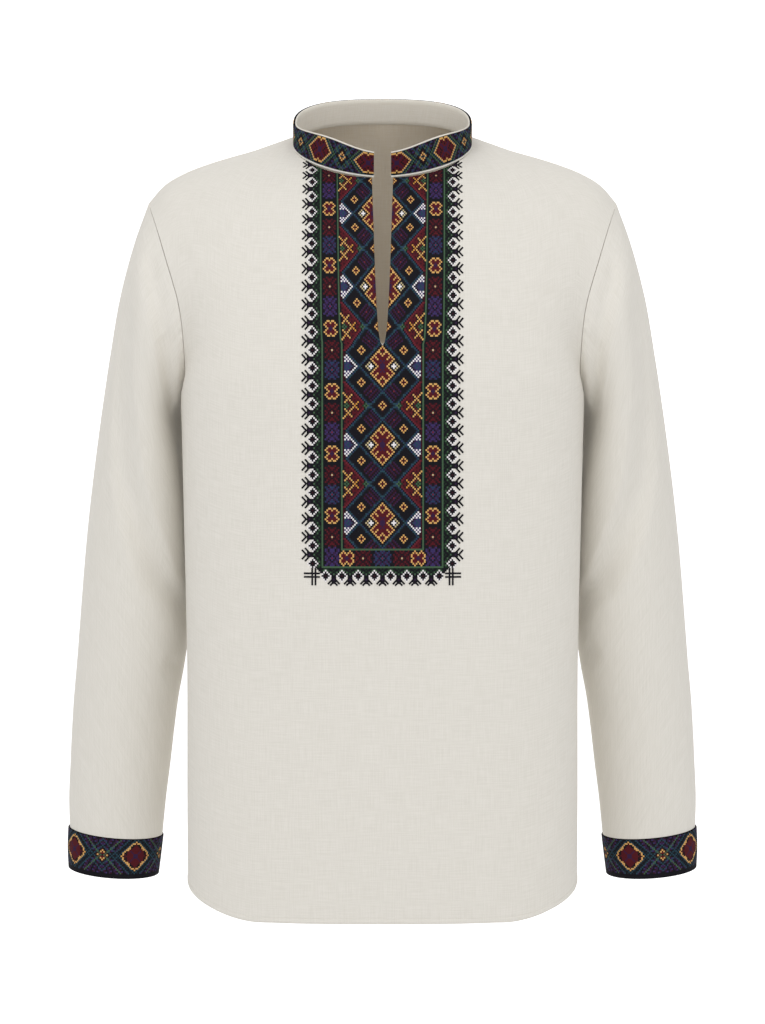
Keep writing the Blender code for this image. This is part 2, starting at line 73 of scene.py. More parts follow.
class Place(NamedTuple):
    """A point of an edge, in millimetres."""

    x: float
    y: float
    z: float


class TorsoSection(NamedTuple):
    """Half width and depths of the body at one height."""

    height: float
    half_width: float
    front_depth: float
    back_depth: float


class SleeveRing(NamedTuple):
    """A tilted oval section of the sleeve or cuff."""

    outer_x: float
    outer_z: float
    inner_x: float
    inner_z: float
    middle_y: float
    half_depth: float
    front_drop: float


class SleeveFold(NamedTuple):
    """A fold of a sleeve; `turn` is a share of its girth from the outer side, `down` one of its length."""

    start_turn: float
    start_down: float
    end_turn: float
    end_down: float
    half_width: float
    depth: float


class BodyFold(NamedTuple):
    """A soft fold of the front or back, between two places given by x and z; a negative depth is a ridge."""

    start_x: float
    start_z: float
    end_x: float
    end_z: float
    half_width: float
    depth: float


class Side(Enum):
    """Which panel of the body."""

    FRONT = -1
    BACK = 1


def hermite_rows(knots: np.ndarray, values: np.ndarray, slopes: np.ndarray, where: np.ndarray) -> np.ndarray:
    """Cubic through the values at the knots.

    Args:
        knots: increasing places of the values.
        values: one row of numbers for each knot.
        slopes: the change of each row for a step of one.
        where: the places to read.

    Returns:
        One row of numbers for each place in `where`.
    """
    index = np.clip(np.searchsorted(knots, where, side="right") - 1, 0, len(knots) - 2)
    step = (knots[index + 1] - knots[index])[:, None]
    share = (where - knots[index])[:, None] / step
    start = (1 + 2 * share) * (1 - share) ** 2 * values[index]
    leave = share * (1 - share) ** 2 * step * slopes[index]
    end = share**2 * (3 - 2 * share) * values[index + 1]
    arrive = share**2 * (share - 1) * step * slopes[index + 1]
    return start + leave + end + arrive


def run_lengths(points: np.ndarray) -> np.ndarray:
    """Length along a polyline up to each of its points, from 0."""
    return np.concatenate([[0.0], np.cumsum(np.linalg.norm(np.diff(points, axis=0), axis=1))])


def even_spacing(points: np.ndarray, shares: np.ndarray) -> np.ndarray:
    """The points of a polyline at the given shares of its length."""
    length = run_lengths(points)
    places = np.asarray(shares) * length[-1]
    return np.stack([np.interp(places, length, points[:, axis]) for axis in range(3)], axis=1)


def smooth_through(stations: list, count: int) -> np.ndarray:
    """A smooth open curve through the stations.

    Args:
        stations: points that the curve passes.
        count: how many points to return.

    Returns:
        Points evenly spaced along the curve.
    """
    stations = np.array(stations, float)
    knots = run_lengths(stations)
    slopes = np.gradient(stations, knots, axis=0)
    points = hermite_rows(knots, stations, slopes, np.linspace(0.0, knots[-1], count))
    return even_spacing(points, np.linspace(0.0, 1.0, count))


def rounded(value: np.ndarray, squareness: float) -> np.ndarray:
    """A cosine or sine bent towards the sides of a box: 2 leaves an ellipse."""
    return np.sign(value) * np.abs(value) ** (2.0 / squareness)


def finer(grid: np.ndarray, times: int, closed: bool = False) -> np.ndarray:
    """A grid of points divided more finely, on smooth curves through the given points.

    Args:
        grid: rows by columns by 3.
        times: how many cells each cell becomes, along and across.
        closed: whether the last column joins the first.

    Returns:
        The finer grid; a closed one still leaves out its repeated last column.
    """
    rows, columns = grid.shape[:2]
    flat = grid.reshape(rows, -1)
    places = np.linspace(0.0, rows - 1, (rows - 1) * times + 1)
    flat = hermite_rows(np.arange(rows, dtype=float), flat, np.gradient(flat, axis=0), places)
    tall = flat.reshape(len(places), columns, 3).transpose(1, 0, 2)
    if closed:
        tall = np.concatenate([tall[-3:], tall, tall[:4]], axis=0)
    start = 3 if closed else 0
    last = start + columns if closed else columns - 1
    count = columns * times if closed else (columns - 1) * times + 1
    flat = tall.reshape(len(tall), -1)
    across = np.linspace(start, last, count, endpoint=not closed)
    flat = hermite_rows(np.arange(len(tall), dtype=float), flat, np.gradient(flat, axis=0), across)
    return flat.reshape(count, len(places), 3).transpose(1, 0, 2)


def normals_of(grid: np.ndarray, closed: bool = False) -> np.ndarray:
    """Unit normals of a grid of points, on the side that columns crossed with rows give."""
    if closed:
        along = np.roll(grid, -1, axis=1) - np.roll(grid, 1, axis=1)
    else:
        along = np.gradient(grid, axis=1)
    normals = np.cross(along, np.gradient(grid, axis=0))
    return normals / np.maximum(np.linalg.norm(normals, axis=2, keepdims=True), 1e-9)


def swell(distance: np.ndarray, half_width: float) -> np.ndarray:
    """A rounded trough: 1 on the line, 0 well away, with a low shoulder on both sides."""
    away = distance / half_width
    return np.exp(-(away**2)) - SHOULDER_HEIGHT * np.exp(-((away - SHOULDER_AWAY) ** 2))


def distance_to_line(points: np.ndarray, start: np.ndarray, end: np.ndarray) -> np.ndarray:
    """Distance of each 2-D point from the stretch between start and end."""
    way = end - start
    share = np.clip((points - start) @ way / (way @ way), 0.0, 1.0)
    return np.linalg.norm(points - start - share[..., None] * way, axis=-1)


@dataclass(frozen=True)
class ShirtForm:
    """The filled-out shape of the shirt: the same sections and edges as its solids."""

    underarm_z: float = -250.0
    widest_y: float = -12.0
    side_seam_y: float = 8.0
    front_squareness: float = 2.8
    back_squareness: float = 2.0
    torso_sections: tuple = (
        TorsoSection(-250.0, 195.6, 113.0, 142.0),
        TorsoSection(-370.0, 193.0, 112.0, 138.0),
        TorsoSection(-506.0, 190.6, 111.0, 131.0),
        TorsoSection(-645.0, 190.8, 111.5, 134.0),
        TorsoSection(-770.0, 190.4, 112.0, 138.0),
    )
    hem_front_z: float = -748.5
    hem_back_z: float = -758.0
    hem_side_z: float = -719.5
    hem_curve_reach: float = 146.0
    hem_curve_power: float = 0.7
    neck_half_width: float = 86.0
    neck_front_depth: float = 63.0
    neck_back_depth: float = 52.0
    neck_centre_y: float = 23.5
    neck_centre_z: float = -6.55
    neck_tilt: float = math.radians(24.0)
    neck_front_squareness: float = 1.8
    neck_back_squareness: float = 2.6
    collar_lean: float = 0.28
    collar_swell: float = 0.17
    shoulder_seam: tuple = (
        Place(97.0, 44.0, -0.4),
        Place(125.0, 38.0, -10.0),
        Place(158.0, 31.0, -19.4),
        Place(187.0, 24.0, -29.4),
        Place(210.0, 19.0, -41.5),
    )
    shoulder_tip: Place = Place(228.0, 15.0, -61.0)
    shoulder_start_y: float = 48.0
    armhole_front: tuple = (
        Place(191.5, -38.0, -212.0),
        Place(196.5, -54.0, -156.0),
        Place(208.0, -42.0, -117.0),
        Place(220.0, -16.0, -81.0),
    )
    armhole_back: tuple = (
        Place(220.0, 44.0, -79.0),
        Place(208.0, 66.0, -115.0),
        Place(197.5, 74.0, -158.0),
        Place(190.5, 56.0, -212.0),
    )
    curve_pull: float = 1.1
    front_neck_lean: float = 47.0
    back_neck_lean: float = 38.0
    neck_side_lean: float = 74.0
    shoulder_lean: float = 88.0
    neck_side_turn: float = 45.0
    smoothing_passes: int = 12
    smoothing_fade: float = 0.3
    armhole_reach_power: float = 3.0
    slit_start: float = 0.227
    slit_half_gap: float = 10.2
    slit_power: float = 0.36
    slit_reach: float = 75.0
    neck_columns: int = 6
    shoulder_columns: int = 7
    lower_rows: int = 11
    upper_rows: int = 12
    dense: int = 240

    def torso_sizes(self, height: float) -> np.ndarray:
        """Half width, front depth and back depth of the body's section at this height."""
        table = np.array(self.torso_sections)[::-1]
        slopes = np.gradient(table[:, 1:], table[:, 0], axis=0)
        return hermite_rows(table[:, 0], table[:, 1:], slopes, np.array([height]))[0]

    def torso_half_ring(self, side: Side, height: float) -> np.ndarray:
        """The section from the middle of a panel round to the left side seam, as a fine polyline."""
        half_width, front_depth, back_depth = self.torso_sizes(height)
        angles = np.linspace(0.0, math.pi, self.dense)
        ahead = angles < math.pi / 2
        depth = np.where(ahead, front_depth, back_depth)
        power = np.where(ahead, self.front_squareness, self.back_squareness)
        x = half_width * rounded(np.sin(angles), power)
        y = self.widest_y - depth * rounded(np.cos(angles), power)
        ring = np.stack([x, y, np.full(self.dense, height)], axis=1)
        before_seam = y < self.side_seam_y
        kept = ring[before_seam] if side is Side.FRONT else ring[~before_seam][::-1]
        behind = (self.side_seam_y - self.widest_y) / back_depth
        seam_x = half_width * (1 - behind**self.back_squareness) ** (1 / self.back_squareness)
        return np.vstack([kept, [seam_x, self.side_seam_y, height]])

    def torso_point(self, side: Side, share: float, height: float) -> np.ndarray:
        """A point of the body's section, `share` of the way from the panel's middle to its side seam."""
        return even_spacing(self.torso_half_ring(side, height), [share])[0]

    def hem_height(self, side: Side, share: float) -> float:
        """Height of the hem at this share of the half panel."""
        middle = self.hem_front_z if side is Side.FRONT else self.hem_back_z
        from_seam = (1 - share) * run_lengths(self.torso_half_ring(side, middle))[-1]
        swing = 0.5 + 0.5 * math.cos(math.pi * min(from_seam / self.hem_curve_reach, 1.0))
        return middle + (self.hem_side_z - middle) * swing**self.hem_curve_power

    def neck_axis(self) -> np.ndarray:
        """Direction in which the collar stands."""
        return np.array([0.0, -math.sin(self.neck_tilt), math.cos(self.neck_tilt)])

    def neck_point(self, turn: float, outset: float = 0.0, rise: float = 0.0) -> np.ndarray:
        """A point of the neckline or collar, which leans in between its front ends and the sides.

        Args:
            turn: 0 at the front, 0.5 at the left side, 1 at the back.
            outset: distance out from the neckline.
            rise: distance up along the collar.

        Returns:
            The point.
        """
        angle = math.pi * turn
        ahead = turn < 0.5
        depth = self.neck_front_depth if ahead else self.neck_back_depth
        squareness = self.neck_front_squareness if ahead else self.neck_back_squareness
        corner = math.sin(2 * angle) ** 2 if ahead else 0.0
        outset = outset - self.collar_lean * corner * rise
        rise = rise * (1 + self.collar_swell * corner)
        across = rounded(math.sin(angle), squareness)
        along = rounded(math.cos(angle), squareness)
        x = (self.neck_half_width + outset) * across
        y = self.neck_centre_y - (depth + outset) * along
        z = self.neck_centre_z + math.tan(self.neck_tilt) * (y - self.neck_centre_y)
        return np.array([x, y, z]) + rise * self.neck_axis()

    def neck_arc(self, side: Side) -> np.ndarray:
        """The neckline from the middle of a panel to the shoulder seam, as a fine polyline."""
        if side is Side.BACK:
            points = np.array([self.neck_point(turn) for turn in np.linspace(1.0, 0.5, self.dense)])
            return points[points[:, 1] > self.shoulder_start_y]
        points = np.array([self.neck_point(turn) for turn in np.linspace(0.0, 1.0, 2 * self.dense)])
        return points[(points[:, 1] < self.shoulder_start_y) & (points[:, 0] >= 0.0)]

    def top_edge(self, side: Side) -> np.ndarray:
        """The panel's top edge, neckline then shoulder seam, a point for each column of the half panel."""
        start = self.neck_arc(Side.FRONT)[-1]
        neck = even_spacing(self.neck_arc(side), np.linspace(0.0, 1.0, self.neck_columns + 1))
        neck[-1] = start
        seam = smooth_through([start, *self.shoulder_seam, self.shoulder_tip], self.dense)
        seam = even_spacing(seam, np.linspace(0.0, 1.0, self.shoulder_columns + 1))
        return np.vstack([neck, seam[1:]])

    def armhole_edge(self, side: Side) -> np.ndarray:
        """Half of the armhole from the underarm up to the shoulder tip, a point for each row."""
        underarm = self.torso_point(Side.FRONT, 1.0, self.underarm_z)
        tip = self.shoulder_tip
        loop = [self.armhole_back[-1], underarm, *self.armhole_front, tip, self.armhole_back[0]]
        if side is Side.BACK:
            loop = [self.armhole_front[0], underarm, *self.armhole_back[::-1], tip, self.armhole_front[-1]]
        points = smooth_through(loop, self.dense * 2)
        first = np.argmin(np.linalg.norm(points - underarm, axis=1))
        last = np.argmin(np.linalg.norm(points - np.array(tip), axis=1))
        edge = even_spacing(points[first : last + 1], np.linspace(0.0, 1.0, self.upper_rows + 1))
        edge[0] = underarm
        edge[-1] = tip
        return edge

    def lean_at(self, side: Side, column: int) -> np.ndarray:
        """Unit direction of the cloth where it reaches the top edge."""
        middle = self.front_neck_lean if side is Side.FRONT else self.back_neck_lean
        if column <= self.neck_columns:
            share = column / self.neck_columns
            lean = middle + (self.neck_side_lean - middle) * share
            turn = self.neck_side_turn * share
        else:
            share = (column - self.neck_columns) / self.shoulder_columns
            lean = self.neck_side_lean + (self.shoulder_lean - self.neck_side_lean) * share
            turn = self.neck_side_turn * (1 - share) ** 2
        lean = math.radians(lean)
        turn = math.radians(turn)
        inward = -side.value * math.cos(turn)
        return np.array([-math.sin(turn) * math.sin(lean), inward * math.sin(lean), math.cos(lean)])

    def rising_curve(self, side: Side, column: int, foot: np.ndarray, head: np.ndarray) -> np.ndarray:
        """Points from the underarm level up to the top edge, upright at the foot and leaning at the head."""
        pull = self.curve_pull * np.linalg.norm(head - foot)
        leave = np.array([0.0, 0.0, pull])
        arrive = self.lean_at(side, column) * pull
        arrive[0] += (head[0] - foot[0]) * max(column - self.neck_columns, 0) / self.shoulder_columns
        share = np.linspace(0.0, 1.0, self.upper_rows + 1)
        return hermite_rows(np.array([0.0, 1.0]), np.array([foot, head]), np.array([leave, arrive]), share)

    def smoothed_across(self, columns: np.ndarray) -> np.ndarray:
        """The columns above the armhole's foot evened out from one to the next, fully only at mid height."""
        even = columns.copy()
        for _ in range(self.smoothing_passes):
            beside = np.concatenate([even[1:2] * MIRROR, even], axis=0)
            even[:-1] = even[:-1] / 2 + (beside[:-2] + even[1:]) / 4
            even[0, :, 0] = 0.0
        up = np.linspace(0.0, 1.0, self.upper_rows + 1)
        share = np.clip(np.minimum(up, 1 - up) / self.smoothing_fade, 0.0, 1.0)
        share = (share**2 * (3 - 2 * share))[None, :, None]
        return columns + share * (even - columns)

    def half_panel(self, side: Side) -> np.ndarray:
        """The wearer's left half of the front or back, rows from the hem up and columns outward."""
        columns = self.neck_columns + self.shoulder_columns
        head = self.top_edge(side)
        lower = []
        upper = []
        for column in range(columns + 1):
            share = column / columns
            heights = np.linspace(self.hem_height(side, share), self.underarm_z, self.lower_rows + 1)
            lower.append([self.torso_point(side, share, height) for height in heights])
            upper.append(self.rising_curve(side, column, lower[-1][-1], head[column]))
        miss = self.armhole_edge(side) - upper[-1]
        for column in range(columns + 1):
            upper[column] = upper[column] + (column / columns) ** self.armhole_reach_power * miss
        upper = self.smoothed_across(np.array(upper))
        return np.concatenate([np.array(lower), upper[:, 1:]], axis=1).transpose(1, 0, 2)

    def panel(self, side: Side, times: int) -> np.ndarray:
        """The whole front or back without its slit, columns from the wearer's right to the left."""
        half = self.half_panel(side)
        whole = np.concatenate([half[:, :0:-1] * MIRROR, half], axis=1)
        return finer(whole, times)

    def slit_gap(self, row: np.ndarray) -> np.ndarray:
        """Half the width of the neck slit at these places, counted in rows of the coarse grid."""
        up = (row - self.lower_rows) / self.upper_rows
        share = np.clip((up - self.slit_start) / (1 - self.slit_start), 0.0, 1.0)
        return self.slit_half_gap * share**self.slit_power

    def moved_aside(self, x: np.ndarray, gap: np.ndarray, half: float) -> np.ndarray:
        """Where the slit moves a place of one half of the front: half is 1 on the left, -1 on the right."""
        return x + half * gap * np.clip(1 - np.abs(x) / self.slit_reach, 0.0, 1.0)

    def neck_turns(self, half_gap: float, count: int) -> np.ndarray:
        """Turns of the neckline evenly spaced from the collar's front edge to the middle of the back."""
        fine = np.linspace(0.0, 1.0, self.dense * 4)
        points = np.array([self.neck_point(turn) for turn in fine])
        length = run_lengths(points)
        start = np.interp(half_gap, points[: self.dense * 2, 0], length[: self.dense * 2])
        return np.interp(np.linspace(start, length[-1], count), length, fine)

    def neck_ring(self, half_gap: float, count: int, outset: float, rise: float) -> np.ndarray:
        """Points round the neck from the collar's right end, by the back, to its left end."""
        left = np.array([self.neck_point(turn, outset, rise) for turn in self.neck_turns(half_gap, count)])
        return np.vstack([left * MIRROR, left[-2::-1]])


def ring_points(ring: SleeveRing, count: int) -> np.ndarray:
    """A sleeve or cuff ring of `count` points: from the outer side to the front, inner side and back."""
    angles = np.linspace(0.0, 2 * math.pi, count, endpoint=False)
    outward = 0.5 + np.cos(angles) / 2
    forward = np.sin(angles)
    x = ring.inner_x + (ring.outer_x - ring.inner_x) * outward
    y = ring.middle_y - ring.half_depth * forward
    z = ring.inner_z + (ring.outer_z - ring.inner_z) * outward - ring.front_drop * forward
    return np.stack([x, y, z], axis=1)


def linear_colour(hex_code: str) -> tuple:
    """An sRGB hex colour as linear red, green, blue and full alpha."""
    parts = [int(hex_code[place : place + 2], 16) / 255 for place in (1, 3, 5)]
    linear = [part / 12.92 if part <= 0.04045 else ((part + 0.055) / 1.055) ** 2.4 for part in parts]
    return (*linear, 1.0)


def add_node(tree: NodeTree, kind: str, settings: dict, links: dict) -> Node:
    """Adds a node.

    Args:
        tree: the material's nodes.
        kind: the node's type name.
        settings: values of its properties, or of its inputs by number or name.
        links: the outputs that feed its inputs, by number or name.

    Returns:
        The new node.
    """
    node = tree.nodes.new(kind)
    for key, value in settings.items():
        if isinstance(key, str) and hasattr(node, key):
            setattr(node, key, value)
        else:
            node.inputs[key].default_value = value
    for key, output in links.items():
        tree.links.new(output, node.inputs[key])
    return node


def maths(tree: NodeTree, operation: str, *values: object) -> NodeSocket:
    """The result of a sum on outputs of nodes and plain numbers.

    Args:
        tree: the material's nodes.
        operation: the sum, by the node's own name for it.
        values: an output or a number for each input, in order.

    Returns:
        The output that carries the result.
    """
    settings: dict = {"operation": operation}
    settings.update({place: value for place, value in enumerate(values) if isinstance(value, float)})
    links = {place: value for place, value in enumerate(values) if not isinstance(value, float)}
    return add_node(tree, "ShaderNodeMath", settings, links).outputs[0]


def add_bump(shader: Node, height: NodeSocket, strength: float, depth: float) -> None:
    """Gives a shader a relief from a height between 0 and 1, as deep as `depth` in metres."""
    tree = shader.id_data
    bump = add_node(tree, "ShaderNodeBump", {"Strength": strength, "Distance": depth}, {"Height": height})
    tree.links.new(bump.outputs[0], shader.inputs["Normal"])


def in_metres(sizes: tuple) -> tuple:
    """Sizes in metres from sizes in millimetres."""
    return tuple(size * METRES for size in sizes)


def new_material(name: str, colour: str, roughness: float, sheen: float, gloss: float = 0.3) -> tuple:
    """A material with one Principled shader.

    Args:
        name: what the real material is.
        colour: its sRGB hex colour.
        roughness: how matt it is.
        sheen: how much its nap catches the light.
        gloss: how much its surface gives back unscattered; cloth and thread shade much of it themselves.

    Returns:
        The material and its shader node.
    """
    material = bpy.data.materials.new(name)
    material.use_nodes = True
    shader = material.node_tree.nodes["Principled BSDF"]
    shader.inputs["Base Color"].default_value = linear_colour(colour)
    shader.inputs["Roughness"].default_value = roughness
    shader.inputs["Sheen Weight"].default_value = sheen
    shader.inputs["Specular IOR Level"].default_value = gloss
    shader.inputs["Sheen Roughness"].default_value = 0.5
    material.diffuse_color = linear_colour(colour)
    return material, shader


@dataclass(frozen=True)
class LinenFinish:
    """Plain-woven bleached linen: matt, with a slightly uneven thread that gives faint slubs both ways."""

    name: str
    light: str
    dark: str
    # Linen shirting has about 14 threads a centimetre; drawn twice as coarse, so that the render shows them
    thread_spacing: float = 1.4
    slub_length: float = 22.0
    slub_width: float = 1.0
    roughness: float = 0.86
    sheen: float = 0.1
    thread_waviness: float = 0.35
    # Between these sums of both slub patterns the colour goes from dark to light
    slub_low: float = 0.72
    slub_high: float = 1.28
    bump_strength: float = 0.55
    bump_depth: float = 0.00014

    def threads(self, tree: NodeTree, place: NodeSocket, turn: float) -> NodeSocket:
        """One set of parallel threads.

        Args:
            tree: the material's nodes.
            place: the piece's own coordinates, in metres of cloth.
            turn: the direction that the threads lie in.

        Returns:
            Their height, from 0 to 1.
        """
        spacing = self.thread_spacing * METRES
        turned = add_node(tree, "ShaderNodeMapping", {"Rotation": (0.0, 0.0, turn)}, {"Vector": place})
        bands = {"wave_type": "BANDS", "bands_direction": "X", "Scale": WAVE_SPACING / spacing}
        bands |= {"Distortion": self.thread_waviness, "Detail": 1.0, "Detail Scale": 1.5}
        return add_node(tree, "ShaderNodeTexWave", bands, {"Vector": turned.outputs[0]}).outputs["Fac"]

    def slubs(self, tree: NodeTree, place: NodeSocket, along_first: bool) -> NodeSocket:
        """Thick places in the thread: noise drawn out along it."""
        long = 1.0 / (self.slub_length * METRES)
        narrow = 1.0 / (self.slub_width * METRES)
        scale = (long, narrow, 1.0) if along_first else (narrow, long, 1.0)
        drawn = add_node(tree, "ShaderNodeMapping", {"Scale": scale}, {"Vector": place})
        noise = {"noise_dimensions": "2D", "Scale": 1.0, "Detail": 2.0}
        return add_node(tree, "ShaderNodeTexNoise", noise, {"Vector": drawn.outputs[0]}).outputs["Fac"]

    def material(self) -> Material:
        """The finished material."""
        material, shader = new_material(self.name, self.light, self.roughness, self.sheen)
        tree = material.node_tree
        place = add_node(tree, "ShaderNodeUVMap", {"uv_map": "Cloth"}, {}).outputs[0]
        warp = self.threads(tree, place, 0.0)
        weft = self.threads(tree, place, math.pi / 2)
        weave = maths(tree, "MULTIPLY", warp, weft)
        first = self.slubs(tree, place, True)
        second = self.slubs(tree, place, False)
        uneven = maths(tree, "ADD", first, second)
        add_bump(shader, maths(tree, "ADD", weave, uneven), self.bump_strength, self.bump_depth)
        shade = {"From Min": self.slub_low, "From Max": self.slub_high, "To Min": 1.0, "To Max": 0.0}
        shade = add_node(tree, "ShaderNodeMapRange", shade, {"Value": uneven})
        tones = {"data_type": "RGBA", 6: linear_colour(self.light), 7: linear_colour(self.dark)}
        tones = add_node(tree, "ShaderNodeMix", tones, {0: shade.outputs[0]})
        tree.links.new(tones.outputs[2], shader.inputs["Base Color"])
        return material


class Thread(Enum):
    """The embroidery threads: a letter for the charts and an sRGB colour."""

    NIGHT = ("K", "#14131a")
    PINE = ("d", "#1b2e20")
    MAROON = ("m", "#34111b")
    OXBLOOD = ("r", "#561720")
    RED = ("R", "#6d2430")
    PLUM = ("p", "#361f42")
    VIOLET = ("v", "#3d3163")
    BLUE = ("b", "#2a3a5c")
    TEAL = ("t", "#294754")
    SLATE = ("s", "#1a2733")
    GREEN = ("e", "#466248")
    GOLD = ("g", "#dfae68")
    AMBER = ("o", "#d39545")
    CREAM = ("c", "#c9b98f")
    WHITE = ("w", "#f3eff0")

    def letter(self) -> str:
        """The letter that stands for this thread in a chart."""
        return self.value[0]

    def colour(self) -> str:
        """Its sRGB hex colour."""
        return self.value[1]


THREADS = {thread.letter(): thread for thread in Thread}


@dataclass(frozen=True)
class FlossFinish:
    """Stranded cotton floss, mercerised: a soft gloss along each strand of the cross."""

    roughness: float = 0.6
    sheen: float = 0.0
    gloss: float = 0.12
    bump_strength: float = 0.6
    bump_depth: float = 0.00018
    strand_width: float = 0.42
    upper_strand_lift: float = 0.35
    plies: float = 5.0
    ply_height: float = 0.12

    def strand(self, tree: NodeTree, across: NodeSocket, lift: float) -> NodeSocket:
        """Height of one strand of the cross from the distance across it."""
        away = maths(tree, "ABSOLUTE", across)
        settings = {"From Min": 0.0, "From Max": self.strand_width, "To Min": 1.0 + lift, "To Max": 0.0}
        settings["interpolation_type"] = "SMOOTHSTEP"
        return add_node(tree, "ShaderNodeMapRange", settings, {"Value": away}).outputs[0]

    def material(self, thread: Thread) -> Material:
        """The finished material of one thread.

        Args:
            thread: which thread.

        Returns:
            The material, whose relief reads the chart's squares from the piece's own UV map.
        """
        name = f"cotton floss {thread.name.lower()}"
        material, shader = new_material(name, thread.colour(), self.roughness, self.sheen, self.gloss)
        tree = material.node_tree
        place = add_node(tree, "ShaderNodeUVMap", {"uv_map": "Chart"}, {}).outputs[0]
        square = add_node(tree, "ShaderNodeVectorMath", {"operation": "FRACTION"}, {0: place}).outputs[0]
        parts = add_node(tree, "ShaderNodeSeparateXYZ", {}, {0: square})
        u, v = parts.outputs[0], parts.outputs[1]
        rising = maths(tree, "SUBTRACT", u, v)
        falling = maths(tree, "SUBTRACT", maths(tree, "ADD", u, v), 1.0)
        under = self.strand(tree, falling, 0.0)
        over = self.strand(tree, rising, self.upper_strand_lift)
        cross = maths(tree, "MAXIMUM", under, over)
        turns = maths(tree, "MULTIPLY", rising, 2 * math.pi * self.plies)
        ply = maths(tree, "MULTIPLY", maths(tree, "SINE", turns), self.ply_height)
        add_bump(shader, maths(tree, "ADD", cross, ply), self.bump_strength, self.bump_depth)
        return material


@dataclass(frozen=True)
class CordFinish:
    """Twisted white cotton cord: matt, with a fine slanting twist."""

    colour: str = "#efece4"
    roughness: float = 0.8
    sheen: float = 0.1
    twist_spacing: float = 1.1
    twist_slant: float = math.radians(35.0)
    bump_strength: float = 0.6
    bump_depth: float = 0.00012

    def material(self) -> Material:
        """The finished material."""
        material, shader = new_material("cotton piping cord", self.colour, self.roughness, self.sheen)
        tree = material.node_tree
        place = add_node(tree, "ShaderNodeUVMap", {"uv_map": "Cloth"}, {}).outputs[0]
        slant = {"Rotation": (0.0, 0.0, self.twist_slant)}
        slant = add_node(tree, "ShaderNodeMapping", slant, {"Vector": place})
        scale = WAVE_SPACING / (self.twist_spacing * METRES)
        bands = {"wave_type": "BANDS", "bands_direction": "X", "Scale": scale}
        twist = add_node(tree, "ShaderNodeTexWave", bands, {"Vector": slant.outputs[0]}).outputs["Fac"]
        add_bump(shader, twist, self.bump_strength, self.bump_depth)
        return material


@dataclass
class Wall:
    """A thin wall: outer points, the steps to its inner points, faces and the cloth's own coordinates."""

    points: np.ndarray
    inward: np.ndarray
    faces: list
    cloth: np.ndarray

    def rim(self) -> list:
        """The directed edges that only one outer face has."""
        directed = {(a, b) for face in self.faces for a, b in zip(face, (*face[1:], face[0]))}
        return [(a, b) for a, b in sorted(directed) if (b, a) not in directed]

    def looks_in(self) -> bool:
        """Whether the faces look along the inward steps, and have to be turned round."""
        first, second, third = (self.points[[face[corner] for face in self.faces]] for corner in range(3))
        ways = self.inward[[face[0] for face in self.faces]]
        return (np.cross(second - first, third - first) * ways).sum() > 0

    def build(self, name: str, outer: object, inner: object, edge: object) -> Object:
        """Makes the closed wall.

        Args:
            name: the piece's name.
            outer: the material of its outer side.
            inner: the material of its inner side.
            edge: the material of its edges.

        Returns:
            The new object.
        """
        if self.looks_in():
            self.faces = [tuple(reversed(face)) for face in self.faces]
        count = len(self.points)
        points = np.vstack([self.points, self.points + self.inward])
        backs = [tuple(vertex + count for vertex in reversed(face)) for face in self.faces]
        rims = [(b, a, a + count, b + count) for a, b in self.rim()]
        materials = list(dict.fromkeys([outer, inner, edge]))
        sides = [outer] * len(backs) + [inner] * len(backs) + [edge] * len(rims)
        places = np.vstack([self.cloth, self.cloth]) * METRES
        piece = add_mesh(name, points, [*self.faces, *backs, *rims], places, materials)
        piece.data.polygons.foreach_set("material_index", [materials.index(side) for side in sides])
        return piece


def add_mesh(
    name: str,
    points: np.ndarray,
    faces: list,
    places: np.ndarray,
    materials: list,
    uv_map: str = "Cloth",
    sharp_angle: float = 55.0,
) -> Object:
    """A mesh object from points in millimetres.

    Args:
        name: the piece's name.
        points: its vertices.
        faces: its faces, as tuples of vertex numbers.
        places: each vertex's place on the flat cloth in metres, or on its chart in squares.
        materials: its materials.
        uv_map: the UV map that keeps those places.
        sharp_angle: the angle in degrees from which an edge is sharp.

    Returns:
        The new object, which rides on the shirt's one body.
    """
    mesh = bpy.data.meshes.new(name)
    mesh.from_pydata((points * METRES).tolist(), [], faces)
    layer = mesh.uv_layers.new(name=uv_map)
    corners = np.empty(len(mesh.loops), dtype=np.int64)
    mesh.loops.foreach_get("vertex_index", corners)
    layer.uv.foreach_set("vector", places[corners].astype(np.float32).ravel())
    mesh.shade_smooth()
    mesh.set_sharp_from_angle(angle=math.radians(sharp_angle))
    piece = bpy.data.objects.new(name, mesh)
    for material in materials:
        mesh.materials.append(material)
    bpy.context.scene.collection.objects.link(piece)
    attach(piece, "root")
    return piece


def grid_faces(numbers: np.ndarray, closed: bool = False) -> list:
    """Quads for each cell of a grid of vertex numbers."""
    beside = np.roll(numbers, -1, axis=1) if closed else numbers[:, 1:]
    here = numbers if closed else numbers[:, :-1]
    quads = np.stack([here[:-1], beside[:-1], beside[1:], here[1:]], axis=2)
    return [tuple(quad) for quad in quads.reshape(-1, 4).tolist()]


def flat_places(grid: np.ndarray, centre: int = 0) -> np.ndarray:
    """Where each point of a grid lies on the flat cloth: the length across its row and up its column."""
    across = np.linalg.norm(np.diff(grid, axis=1), axis=2)
    across = np.concatenate([np.zeros((len(grid), 1)), np.cumsum(across, axis=1)], axis=1)
    across = across - across[:, centre : centre + 1]
    up = np.linalg.norm(np.diff(grid, axis=0), axis=2)
    up = np.concatenate([np.zeros((1, grid.shape[1])), np.cumsum(up, axis=0)], axis=0)
    return np.stack([across, up], axis=2)


